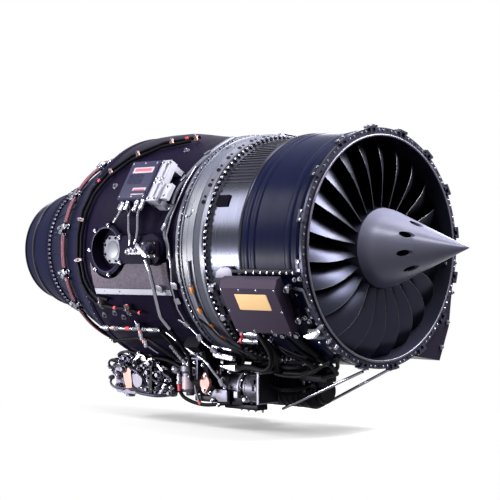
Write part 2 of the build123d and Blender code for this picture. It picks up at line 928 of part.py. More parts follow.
# Fuel pump: a flanged body between the gearbox arm and the fuel control
with BuildPart() as fuel_pump:
    impeller_axis = Plane(origin=(-1199, -184, -562), z_dir=(1, 0, 0))
    turned(impeller_axis, (53, 0), (53, 52), (58, 56), (58, 66), (50, 72), (50, 104), (62, 107), (62, 120))
    outlet = Plane(origin=(-1150, -184, -562), z_dir=(0, -1, 0), x_dir=(1, 0, 0))
    turned(outlet, (24, 0), (24, 56), (30, 59), (30, 68))
save(fuel_pump.part, "fuel_pump")

# Fuel filter: a canister hanging from a head on the gearbox arm
with BuildPart() as fuel_filter:
    can = Plane(origin=(-868, -205, -482), z_dir=(0, 0, -1))
    turned(can, (30, 0), (42, 5), (42, 26), (37, 30), (35, 36), (35, 102), (31, 112), (17, 116), (17, 128))
    with Locations((-868, -157, -522)):
        Box(64, 74, 36)
save(fuel_filter.part, "fuel_filter")

# Oil tank: a saddle on the far side of the fan case
with BuildPart() as oil_tank:
    with BuildSketch(Plane.YZ.offset(-250)) as shell:
        with BuildLine():
            top = (sqrt(468**2 - 78**2), 78)
            low = (200, -sqrt(468**2 - 200**2))
            Line(top, (511, 78))
            ThreePointArc((511, 78), (478, -155), (455, -318))
            Line((455, -318), (394, -454))
            Line((394, -454), low)
            ThreePointArc(low, (468 * cos(radians(25)), -468 * sin(radians(25))), top)
        make_face()
    extrude(amount=220)
save(oil_tank.part, "oil_tank")

# Duct tubes: two dark hoses clipped round the rear of the duct
outer_hose = [(-852, 18.7, 493), (-977, 29.3, 509), (-1090, 40.5, 513), (-1173, 51.2, 509), (-1221, 60, 504)]
outer_hose += [(-1240, 71, 502), (-1244, 83.5, 501), (-1247, 96, 501), (-1238, 106, 502), (-1217, 112, 505)]
outer_hose += [(-1170, 117, 510), (-1081, 118.3, 513), (-994, 119, 511), (-930, 121.6, 503)]
inner_hose = [(-858, 25, 494), (-966, 33.3, 507), (-1072, 44.6, 513), (-1147, 54.4, 511), (-1192, 63.3, 507)]
inner_hose += [(-1211, 73.4, 505), (-1216, 83.6, 504), (-1219, 94.8, 504), (-1211, 104, 505), (-1193, 109, 507)]
inner_hose += [(-1154, 113.4, 511), (-1086, 114.3, 513)]
with BuildPart() as duct_hoses:
    for route in (outer_hose, inner_hose):
        pipe(7, 30, *[spot(*point) for point in route])
save(duct_hoses.part, "duct_hoses")

# Fuel tube: the long steel tube from the valve block to the gearbox
with BuildPart() as fuel_tube:
    pipe(
        8,
        40,
        spot(-790, 95, 524),
        spot(-774, 100, 522),
        spot(-772, 110, 520),
        spot(-790, 122, 520),
        spot(-765, 128, 524),
        spot(-715, 141, 560),
        spot(-700, 146, 640),
    )
save(fuel_tube.part, "fuel_tube")

# Drain rods under the fan case
with BuildPart() as drain_rods:
    bar((-470, -66, -648), (-46, -66, -474), 6)
    bar((-420, 96, -650), (-46, 96, -474), 6)
save(drain_rods.part, "drain_rods")

# Ring tubes: a drain tube on the duct's front flange and a harness tube on the frame
with BuildPart() as ring_tubes:
    drain = [(-681, 45), (-678, 56), (-685, 67), (-700, 76), (-712, 84), (-694, 91), (-690, 99), (-706, 109)]
    drain += [(-714, 120), (-709, 131)]
    pipe(4, 10, *[spot(x, clock, 482) for x, clock in drain])
    harness = [(-592, 96), (-599, 108), (-597, 119), (-582, 129), (-564, 137), (-543, 146)]
    pipe(6, 20, *[spot(x, clock, 477) for x, clock in harness])
save(ring_tubes.part, "ring_tubes")

# Vent tube below the panel, with a fitting at each end
with BuildPart() as vent_tube:
    bar(spot(-1222, 130.5, 512), spot(-849, 130.5, 512), 7)
    bar(spot(-1200, 130.5, 512), spot(-1170, 130.5, 512), 12)
    bar(spot(-915, 130.5, 512), spot(-885, 130.5, 512), 12)
save(vent_tube.part, "vent_tube")

# Fan case hoses: dark loops under the control box
with BuildPart() as fan_case_hoses:
    loop_one = [(-190, 143, 500), (-150, 148, 505), (-160, 156, 512), (-260, 160, 520), (-360, 161, 520)]
    pipe(11, 30, *[spot(*point) for point in loop_one])
    loop_two = [(-90, 146, 500), (-60, 152, 500), (-80, 160, 510), (-200, 166, 520)]
    pipe(8, 20, *[spot(*point) for point in loop_two])
save(fan_case_hoses.part, "fan_case_hoses")

# Thermocouple harness round the exhaust cone
with BuildPart() as thermocouple_harness:
    for x, radius in ((-1448, 412), (-1474, 401)):
        with BuildSketch(Plane.XZ) as wire:
            with Locations((x, radius)):
                RegularPolygon(5, 6)
        revolve(wire.sketch, axis=Axis.X)
save(thermocouple_harness.part, "thermocouple_harness")

# Fuel injectors round the combustor
with BuildPart() as injector:
    bar((-1002, 0, 225), (-1002, 0, 304), 7)
    bar((-1002, 0, 304), (-1002, 0, 312), 12)
with BuildPart() as fuel_injectors:
    with around_axis(14, 12):
        add(injector.part)
save(fuel_injectors.part, "fuel_injectors")

# Front mount: the bolted pad on the far side of the intermediate frame
with BuildPart() as front_mount:
    pad = station(-600, 270, frame_radius - 16)
    block(pad, 46, 150, 38)
    ring((-700, 0), (-700, frame_radius), (-500, frame_radius), (-500, 0), mode=Mode.SUBTRACT)
    for y in (-55, 55):
        disc(Plane(pad.location * Location((0, y, 0))), 8, 40, mode=Mode.SUBTRACT)
save(front_mount.part, "front_mount")

# Rear mount: a lug on the far side of the exhaust cone
with BuildPart() as rear_mount:
    lug = Plane.XY.offset(-14)
    with BuildSketch(lug):
        outline((-1645, 300), (-1540, 345), (-1562, 412), (-1598, 422), (-1630, 402))
        with Locations((-1592, 396)):
            Circle(11, mode=Mode.SUBTRACT)
    extrude(amount=28)
    ring((-1298, 462.5), (-1690, 298.5), (-1690, 0), (-1298, 0), mode=Mode.SUBTRACT)
save(rear_mount.part, "rear_mount")
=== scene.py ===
import math

import bpy
from mathutils import Matrix, Vector


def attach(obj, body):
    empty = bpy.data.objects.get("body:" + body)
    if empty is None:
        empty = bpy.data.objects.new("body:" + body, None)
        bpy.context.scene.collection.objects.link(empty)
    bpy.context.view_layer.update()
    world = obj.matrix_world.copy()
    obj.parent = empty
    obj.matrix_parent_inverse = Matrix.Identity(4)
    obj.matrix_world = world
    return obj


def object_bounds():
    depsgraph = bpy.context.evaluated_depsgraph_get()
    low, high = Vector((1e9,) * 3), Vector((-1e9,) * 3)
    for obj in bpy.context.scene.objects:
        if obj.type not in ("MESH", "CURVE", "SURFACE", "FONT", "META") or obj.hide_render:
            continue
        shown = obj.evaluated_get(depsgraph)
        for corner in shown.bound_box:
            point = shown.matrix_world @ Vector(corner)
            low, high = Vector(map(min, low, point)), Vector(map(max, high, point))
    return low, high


bl_info = {
    "name": "Turbofan dress-up",
    "version": (1, 0, 0),
    "blender": (4, 5, 0),
    "location": "3D View > Sidebar > Turbofan",
    "description": "Gives the turbofan's solids their finishes, fasteners, pipes and fittings",
    "category": "Add Mesh",
}

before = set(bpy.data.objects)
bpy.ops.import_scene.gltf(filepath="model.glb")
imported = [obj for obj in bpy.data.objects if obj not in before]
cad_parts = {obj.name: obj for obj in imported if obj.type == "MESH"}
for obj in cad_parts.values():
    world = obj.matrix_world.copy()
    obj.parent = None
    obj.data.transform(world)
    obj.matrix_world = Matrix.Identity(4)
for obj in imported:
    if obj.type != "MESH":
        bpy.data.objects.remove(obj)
cad_box = [list(corner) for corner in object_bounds()]

MM = 0.001
FAN = "fan_spool"
ENGINE = "engine"
# Directions on the engine: near is the side that the camera sees
FORWARD = (1, 0, 0)
NEAR = (0, -1, 0)
UP = (0, 0, 1)
DOWN = (0, 0, -1)
# Steps of a ring round the whole engine
RING_STEPS = 144


def linear(code):
    """The linear colour of an sRGB hex code."""
    values = [int(code[i : i + 2], 16) / 255 for i in (1, 3, 5)]
    return [v / 12.92 if v <= 0.04045 else ((v + 0.055) / 1.055) ** 2.4 for v in values]


def colour(code, name, words):
    """A colour that a user can change, given as an sRGB hex code."""
    return bpy.props.FloatVectorProperty(
        name=name, description=words, subtype="COLOR", size=3, min=0, max=1, default=linear(code)
    )


def length(millimetres, name, words):
    """A length that a user can change."""
    return bpy.props.FloatProperty(
        name=name, description=words, subtype="DISTANCE", unit="LENGTH", default=millimetres * MM, min=0
    )


class TurbofanColours(bpy.types.PropertyGroup):
    """Colours of the finishes"""

    titanium: colour("#292a35", "Titanium", "Milled titanium of the fan blades")
    anodised: colour("#5e5e70", "Anodised aluminium", "Turned and anodised aluminium of the spinner")
    alloy: colour("#33343e", "Bare aluminium", "Turned bare aluminium of the fan case")
    wrap: colour("#0e1129", "Wrap", "Black resin over the wound fibre wrap")
    enamel: colour("#4b4d5c", "Grey enamel", "Grey enamel of the cast frame ring")
    duct: colour("#130f20", "Duct laminate", "Dark resin of the bypass duct")
    black: colour("#17131f", "Black enamel", "Enamel of the oil tank, the rail and small plates")
    # On the fan case's lining this dark colour is partly painted shade for the inside of the case
    lining: colour("#2b2b39", "Dark anodising", "Hard anodising of the inlet flange and the fan's lining")
    hot: colour("#0f1024", "Heat-tinted alloy", "Nickel alloy of the nozzle and the cone")
    steel: colour("#807f8b", "Stainless steel", "Drawn stainless tube and plated fittings")
    cast: colour("#4f4d58", "Cast alloy", "Sand-cast alloy of the gearbox and pumps")
    box: colour("#3a3141", "Box enamel", "Purple-brown enamel of the control box")
    # The dark casting colour is near black as painted shade for the dark below the engine; the flat black
    # plate uses it too
    casting: colour("#0b0a12", "Dark casting", "Black coat on the gearbox casting")
    beaded: colour("#8c8c98", "Beaded aluminium", "Glass-beaded aluminium of brackets and strips")
    slate: colour("#2b2a42", "Slate enamel", "Enamel of the ignition exciter's case")
    blanket: colour("#504c62", "Blanket", "Woven outer face of the heat blanket")
    fleck: colour("#5c4650", "Blanket fleck", "Browner threads of the heat blanket")
    rubber: colour("#08070e", "Hose rubber", "Rubber and dark braid of the hoses")
    sleeve: colour("#7d4f5c", "Lead sleeve", "Pink-brown glass braid on the hot leads")
    cushion: colour("#c88d84", "Clamp cushion", "Silicone cushion in the hose clamps")
    red: colour("#b3283c", "Red band", "Red marking bands on tubes")
    paper: colour("#9a8a96", "Pale plate", "Pale lacquer of the blank plates")
    signal: colour("#96304a", "Red field", "Red lacquer on the exciter's blank plates")
    orange: colour("#dd8a3a", "Orange tape", "Orange tape on the harness")
    brass: colour("#f0c58c", "Brass plate", "Etched blank plate of pale brass")
    floor: colour("#f7f7f8", "Floor", "Pale studio floor")


class TurbofanSizes(bpy.types.PropertyGroup):
    """Sizes of what repeats, and the floor's place"""

    bolt_head: length(9, "Bolt head", "Width across a small flange bolt's head")
    edge_guard: length(1.1, "Edge guard", "Radius of the guard on a fan blade's leading edge")
    ridge_height: length(2.2, "Ridge height", "How far the wrap's ridges stand out")
    clamp_width: length(15, "Clamp width", "Width of a hose clamp's band")
    floor_drop: length(75, "Floor drop", "How far the floor lies below the engine")


def moved(place, x, y, z):
    """A place shifted within itself, in millimetres."""
    return place @ Matrix.Translation((x * MM, y * MM, z * MM))


def turned(place, degrees, axis="Z"):
    """A place turned within itself."""
    return place @ Matrix.Rotation(math.radians(degrees), 4, axis)


def around(place, degrees, radius, height):
    """Places on a circle about a place's Z, at each of some angles, all facing as it does."""
    turns = [math.radians(angle) for angle in degrees]
    return [moved(place, radius * math.cos(turn), radius * math.sin(turn), height) for turn in turns]


def station(x, clock, radius, turn=0.0):
    """A place on the engine, in millimetres: local X forward, Y towards the top, Z outward."""
    angle = math.radians(clock)
    out = Vector((0, -math.sin(angle), math.cos(angle)))
    ahead = Vector((1, 0, 0))
    place = Matrix((ahead, out.cross(ahead), out)).transposed().to_4x4()
    place.translation = Vector((x, out.y * radius, out.z * radius)) * MM
    return turned(place, turn)


def spot(x, clock, radius):
    """A point on the engine, in millimetres."""
    angle = math.radians(clock)
    return (x, -radius * math.sin(angle), radius * math.cos(angle))


def aimed(point, axis):
    """A place at a point in millimetres whose Z runs along an axis."""
    z = Vector(axis).normalized()
    x = Vector(UP).cross(z)
    if x.length < 0.01:
        x = Vector(FORWARD)
    x.normalize()
    place = Matrix((x, z.cross(x), z)).transposed().to_4x4()
    place.translation = Vector(point) * MM
    return place


def deselect():
    """Leaves edit mode and deselects everything."""
    if bpy.context.mode != "OBJECT":
        bpy.ops.object.mode_set(mode="OBJECT")
    bpy.ops.object.select_all(action="DESELECT")


def pick(*pieces):
    """Selects only these pieces, the first one active."""
    deselect()
    for piece in pieces:
        piece.select_set(True)
    bpy.context.view_layer.objects.active = pieces[0]


def fresh(points, edges, faces=()):
    """A new piece from a drawn outline in millimetres, open in edit mode with all of it selected."""
    mesh = bpy.data.meshes.new("draft")
    mesh.from_pydata([Vector(p) * MM for p in points], edges, faces)
    piece = bpy.data.objects.new("draft", mesh)
    bpy.context.collection.objects.link(piece)
    pick(piece)
    bpy.ops.object.mode_set(mode="EDIT")
    bpy.ops.mesh.select_all(action="SELECT")
    return piece


def close(piece, place):
    """Leaves edit mode, points the faces outwards and puts the mesh in its place."""
    bpy.ops.mesh.select_all(action="SELECT")
    bpy.ops.mesh.remove_doubles(threshold=0.00002)
    bpy.ops.mesh.normals_make_consistent(inside=False)
    bpy.ops.object.mode_set(mode="OBJECT")
    piece.data.transform(place)
    return piece


def lathe(place, profile, sides=24):
    """A turned piece about its place's Z: the profile is (radius, height) in millimetres."""
    points = [(r, 0, z) for r, z in profile]
    piece = fresh(points, [(i, i + 1) for i in range(len(points) - 1)])
    bpy.ops.mesh.spin(steps=sides, angle=math.tau, center=(0, 0, 0), axis=UP)
    return close(piece, place)


def hoop(profile):
    """A closed ring about the engine axis: the profile is (x, radius) in millimetres."""
    points = [(x, 0, r) for x, r in profile]
    count = len(points)
    piece = fresh(points, [(i, (i + 1) % count) for i in range(count)])
    bpy.ops.mesh.spin(steps=RING_STEPS, angle=math.tau, center=(0, 0, 0), axis=FORWARD)
    return close(piece, Matrix())


def plate(place, outline, depth, edge=0.0, lift=0.0):
    """A plate cut to an outline in millimetres, with bevelled rims."""
    count = len(outline)
    piece = fresh([(x, y, lift) for x, y in outline], (), [list(range(count))])
    bpy.ops.mesh.extrude_region_move(TRANSFORM_OT_translate={"value": (0, 0, depth * MM)})
    if edge:
        bpy.ops.mesh.select_all(action="SELECT")
        bpy.ops.mesh.bevel(offset=edge * MM, segments=2, profile=0.7)
    return close(piece, place)


def slab(place, width, height, depth, edge=1.5, lift=0.0):
    """A block standing on its place, centred, with bevelled edges."""
    w = width / 2
    h = height / 2
    return plate(place, [(-w, -h), (w, -h), (w, h), (-w, h)], depth, edge, lift)


def round_corners(width, height, radius):
    """A rectangle with rounded corners, as an outline."""
    steps = 3
    outline = []
    for i in range(4):
        cx = (width / 2 - radius) * (1, -1, -1, 1)[i]
        cy = (height / 2 - radius) * (1, 1, -1, -1)[i]
        for step in range(steps + 1):
            angle = math.radians(90 * i + 90 * step / steps)
            outline.append((cx + radius * math.cos(angle), cy + radius * math.sin(angle)))
    return outline


def tube(points, radius):
    """A bent tube through smooth bends along a route in millimetres."""
    curve = bpy.data.curves.new("route", "CURVE")
    curve.dimensions = "3D"
    curve.bevel_depth = radius * MM
    curve.bevel_resolution = 3
    curve.resolution_u = 6
    curve.use_fill_caps = True
    spline = curve.splines.new("NURBS")
    spline.points.add(len(points) - 1)
    for knot, point in zip(spline.points, points):
        knot.co = (*(Vector(point) * MM), 1)
    spline.order_u = 3
    spline.use_endpoint_u = True
    piece = bpy.data.objects.new("route", curve)
    bpy.context.collection.objects.link(piece)
    pick(piece)
    bpy.ops.object.convert(target="MESH")
    return bpy.context.view_layer.objects.active


def copies(pattern, places):
    """The pattern once at each place, each with its own mesh. The pattern itself goes."""
    made = []
    for place in places:
        copy = bpy.data.objects.new("copy", pattern.data.copy())
        copy.data.transform(place)
        bpy.context.collection.objects.link(copy)
        made.append(copy)
    bpy.data.objects.remove(pattern)
    return made


def merged(pieces):
    """Several pieces as one, which keeps each one's finish."""
    if len(pieces) > 1:
        pick(*pieces)
        bpy.ops.object.join()
    return pieces[0]


def painted(finish, *pieces):
    """Gives pieces a finish and returns them as a list."""
    for piece in pieces:
        piece.data.materials.clear()
        piece.data.materials.append(bpy.data.materials[finish])
    return list(pieces)


def refaced(node, finish, passes):
    """Gives a solid's faces a second finish where a test of their x, radius and z, in metres, passes."""
    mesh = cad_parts[node].data
    mesh.materials.append(bpy.data.materials[finish])
    for face in mesh.polygons:
        at = face.center
        if passes(at.x, math.hypot(at.y, at.z), at.z):
            face.material_index = 1


def finished(name, pieces, body=ENGINE, smooth=35):
    """The end of each piece: joined, named, shaded, riding on its body."""
    piece = merged(pieces)
    piece.name = name
    piece.data.name = name
    pick(piece)
    bpy.ops.object.shade_smooth_by_angle(angle=math.radians(smooth))
    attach(piece, body)
    return piece


def ring_places(count, x, radius, start=0.0, facing="out"):
    """Places round the engine axis: facing out, forward or aft."""
    lean = {"out": 0, "forward": 90, "aft": -90}[facing]
    return [turned(station(x, start + 360 * i / count, radius), lean, "Y") for i in range(count)]


def bolt(size, height, washer=1.35, stud=0.0):
    """A hexagon bolt on a washer, drawn with few faces."""
    head = lathe(
        Matrix(),
        [(0, height), (size * 0.42, height), (size * 0.55, height * 0.8), (size * 0.55, height * 0.2)],
        6,
    )
    base = lathe(
        Matrix(),
        [(size * 0.5, height * 0.22), (size * 0.5 * washer, height * 0.18), (size * 0.5 * washer, -0.5)],
        10,
    )
    parts = [head, base]
    if stud:
        parts.append(lathe(
            Matrix(), [(0, height + stud), (size * 0.25, height + stud * 0.8), (size * 0.28, height)], 8,
        ))
    return merged(parts)


def add(tree, kind, settings=None, links=None):
    """Adds a node, sets its properties and inputs, and links its inputs to other nodes' outputs."""
    node = tree.nodes.new(kind)
    for key, value in (settings or {}).items():
        if isinstance(key, int) or key in node.inputs:
            node.inputs[key].default_value = value
        else:
            setattr(node, key, value)
    for key, output in (links or {}).items():
        tree.links.new(output, node.inputs[key])
    return node


def blank_material(name):
    """A material with only its output and one surface shader."""
    material = bpy.data.materials.new(name)
    material.use_nodes = True
    tree = material.node_tree
    tree.nodes.clear()
    shader = add(tree, "ShaderNodeBsdfPrincipled")
    add(tree, "ShaderNodeOutputMaterial", links={"Surface": shader.outputs[0]})
    return tree, shader


def scaled_coordinates(tree, scale):
    """Object coordinates, stretched by a scale in cycles per metre along each axis."""
    where = add(tree, "ShaderNodeTexCoord")
    return add(tree, "ShaderNodeMapping", {"Scale": scale}, {"Vector": where.outputs["Object"]})


def tinted(tree, shader, base, amount, factor):
    """Lets a pattern move the base colour a little darker and lighter."""
    dark = [v * (1 - amount) for v in base] + [1]
    light = [min(1, v * (1 + amount)) for v in base] + [1]
    blend = add(tree, "ShaderNodeMix", {"data_type": "RGBA", 6: dark, 7: light}, {0: factor})
    tree.links.new(blend.outputs[2], shader.inputs["Base Color"])


def bumped(tree, shader, height, millimetres, strength):
    """Gives the surface a relief of a real depth."""
    relief = add(
        tree, "ShaderNodeBump", {"Strength": strength, "Distance": millimetres * MM}, {"Height": height},
    )
    tree.links.new(relief.outputs[0], shader.inputs["Normal"])


def roughened(tree, shader, low, high, factor):
    """Lets a pattern move the roughness between two values."""
    spread = add(tree, "ShaderNodeMapRange", {"To Min": low, "To Max": high}, {"Value": factor})
    tree.links.new(spread.outputs[0], shader.inputs["Roughness"])


def seen_directly(tree):
    """1 where the camera, a reflection or a view through glass meets the surface, 0 for its light."""
    rays = add(tree, "ShaderNodeLightPath")
    either = add(
        tree,
        "ShaderNodeMath",
        {"operation": "MAXIMUM"},
        {0: rays.outputs["Is Camera Ray"], 1: rays.outputs["Is Glossy Ray"]},
    )
    seen = add(
        tree,
        "ShaderNodeMath",
        {"operation": "MAXIMUM"},
        {0: either.outputs[0], 1: rays.outputs["Is Transmission Ray"]},
    )
    return seen.outputs[0]


def turned_metal(name, base, rough, spacing, depth, tint=0.12, metallic=1.0, shine=0.5):
    """Metal cut on a lathe: fine rings about the engine axis, spaced along it."""
    tree, shader = blank_material(name)
    shader.inputs["Metallic"].default_value = metallic
    shader.inputs["Specular IOR Level"].default_value = shine
    # Real tool marks are 0.3 mm apart: they are drawn wider, so that the render can show them
    marks = scaled_coordinates(tree, (1000 / spacing, 2.5, 2.5))
    rings = add(
        tree, "ShaderNodeTexNoise", {"Scale": 1, "Detail": 3, "Roughness": 0.6},
        {"Vector": marks.outputs[0]},
    )
    wide = scaled_coordinates(tree, (22, 3, 3))
    clouds = add(tree, "ShaderNodeTexNoise", {"Scale": 1, "Detail": 2}, {"Vector": wide.outputs[0]})
    tinted(tree, shader, base, tint, clouds.outputs[0])
    roughened(tree, shader, rough - 0.07, rough + 0.09, rings.outputs[0])
    bumped(tree, shader, rings.outputs[0], depth, 0.35)


def milled_metal(name, base, rough, spacing, depth, metallic=1.0):
    """Milled or drawn metal with faint marks in every direction."""
    tree, shader = blank_material(name)
    shader.inputs["Metallic"].default_value = metallic
    fine = scaled_coordinates(tree, (1000 / spacing,) * 3)
    grain = add(
        tree, "ShaderNodeTexNoise", {"Scale": 1, "Detail": 4, "Roughness": 0.65},
        {"Vector": fine.outputs[0]},
    )
    wide = scaled_coordinates(tree, (9, 9, 9))
    clouds = add(tree, "ShaderNodeTexNoise", {"Scale": 1, "Detail": 2}, {"Vector": wide.outputs[0]})
    tinted(tree, shader, base, 0.12, clouds.outputs[0])
    roughened(tree, shader, rough - 0.06, rough + 0.08, grain.outputs[0])
    bumped(tree, shader, grain.outputs[0], depth, 0.3)


def cast_metal(name, base, rough, grit, metallic=0.85, shine=0.5):
    """Sand-cast metal: a pebbled skin with grime in its hollows."""
    tree, shader = blank_material(name)
    shader.inputs["Metallic"].default_value = metallic
    shader.inputs["Specular IOR Level"].default_value = shine
    fine = scaled_coordinates(tree, (1000 / grit,) * 3)
    pebbles = add(tree, "ShaderNodeTexVoronoi", {"Scale": 1}, {"Vector": fine.outputs[0]})
    wide = scaled_coordinates(tree, (14, 14, 14))
    grime = add(
        tree, "ShaderNodeTexNoise", {"Scale": 1, "Detail": 5, "Roughness": 0.7},
        {"Vector": wide.outputs[0]},
    )
    tinted(tree, shader, base, 0.4, grime.outputs[0])
    roughened(tree, shader, rough - 0.1, rough + 0.15, grime.outputs[0])
    bumped(tree, shader, pebbles.outputs[0], 0.25, 0.25)


def enamelled(name, base, rough, peel, shine=0.5, tint=0.12):
    """Sprayed enamel or resin: a soft orange peel and a faint mottling."""
    tree, shader = blank_material(name)
    shader.inputs["Specular IOR Level"].default_value = shine
    fine = scaled_coordinates(tree, (1000 / peel,) * 3)
    dimples = add(tree, "ShaderNodeTexNoise", {"Scale": 1, "Detail": 2}, {"Vector": fine.outputs[0]})
    wide = scaled_coordinates(tree, (11, 11, 11))
    clouds = add(
        tree, "ShaderNodeTexNoise", {"Scale": 1, "Detail": 4, "Roughness": 0.6},
        {"Vector": wide.outputs[0]},
    )
    tinted(tree, shader, base, tint, clouds.outputs[0])
    roughened(tree, shader, rough - 0.06, rough + 0.12, clouds.outputs[0])
    bumped(tree, shader, dimples.outputs[0], 0.12, 0.2)


def wound(name, base, rough, spacing):
    """Fibre wound round the case under resin: fine bands about the axis with a silky shine."""
    tree, shader = blank_material(name)
    shader.inputs["Specular IOR Level"].default_value = 0.025
    threads = scaled_coordinates(tree, (1000 / spacing, 1.2, 1.2))
    bands = add(
        tree, "ShaderNodeTexNoise", {"Scale": 1, "Detail": 4, "Roughness": 0.7},
        {"Vector": threads.outputs[0]},
    )
    wide = scaled_coordinates(tree, (30, 2, 2))
    streaks = add(tree, "ShaderNodeTexNoise", {"Scale": 1, "Detail": 3}, {"Vector": wide.outputs[0]})
    tinted(tree, shader, base, 0.35, streaks.outputs[0])
    roughened(tree, shader, rough - 0.1, rough + 0.16, bands.outputs[0])
    bumped(tree, shader, bands.outputs[0], 0.3, 0.4)


def woven(name, base, spacing, rough=0.7, shine=0.25):
    """Braid or cloth: two crossed sets of threads."""
    tree, shader = blank_material(name)
    shader.inputs["Specular IOR Level"].default_value = shine
    # Real threads are under 1 mm: they are drawn wider, so that the render can show them
    threads = []
    for slant in (1, -1):
        where = scaled_coordinates(tree, (1000 / spacing, slant * 1000 / spacing, 1000 / spacing))
        settings = {"bands_direction": "DIAGONAL", "Scale": 0.32, "Distortion": 0.4}
        threads.append(add(tree, "ShaderNodeTexWave", settings, {"Vector": where.outputs[0]}).outputs[1])
    crossed = add(tree, "ShaderNodeMath", {"operation": "MULTIPLY"}, dict(enumerate(threads)))
    tinted(tree, shader, base, 0.45, crossed.outputs[0])
    roughened(tree, shader, rough, rough + 0.15, crossed.outputs[0])
    bumped(tree, shader, crossed.outputs[0], 0.5, 0.5)


def quilted(name, base, second, spacing):
    """Coarse glass cloth: mottled threads of two tones."""
    tree, shader = blank_material(name)
    shader.inputs["Specular IOR Level"].default_value = 0.25
    # Real threads are under 1 mm: they are drawn wider, so that the render can show them
    cells = scaled_coordinates(tree, (1000 / spacing,) * 3)
    threads = add(
        tree, "ShaderNodeTexVoronoi", {"Scale": 1, "Randomness": 0.8}, {"Vector": cells.outputs[0]},
    )
    wide = scaled_coordinates(tree, (110, 110, 110))
    clouds = add(
        tree, "ShaderNodeTexNoise", {"Scale": 1, "Detail": 4, "Roughness": 0.7},
        {"Vector": wide.outputs[0]},
    )
    tone = add(
        tree, "ShaderNodeMix", {"data_type": "RGBA", 6: [*base, 1], 7: [*second, 1]},
        {0: clouds.outputs[0]},
    )
    dark = add(
        tree, "ShaderNodeMix", {"data_type": "RGBA", 7: [v * 0.35 for v in base] + [1]},
        {0: threads.outputs[0], 6: tone.outputs[2]},
    )
    tree.links.new(dark.outputs[2], shader.inputs["Base Color"])
    roughened(tree, shader, 0.5, 0.8, clouds.outputs[0])
    bumped(tree, shader, threads.outputs[0], 0.8, 0.6)


class TURBOFAN_OT_camera(bpy.types.Operator):
    """Puts the camera where the photograph was taken from"""

    bl_idname = "turbofan.camera"
    bl_label = "Camera"

    def execute(self, context):
        # A long lens, from the engine's front right and level with its axis, in metres
        lens = bpy.data.cameras.new("camera")
        lens.lens = 108
        lens.sensor_width = 36
        lens.clip_end = 60
        camera = bpy.data.objects.new("camera", lens)
        context.collection.objects.link(camera)
        look = Vector((-0.7036, 0.7106, 0.0032)).normalized()
        side = look.cross(Vector((0, 0, 1))).normalized()
        stand = Matrix((side, side.cross(look), -look)).transposed().to_4x4()
        stand.translation = (3.7016, -4.4671, -0.0256)
        camera.matrix_world = stand
        context.scene.camera = camera
        return {"FINISHED"}


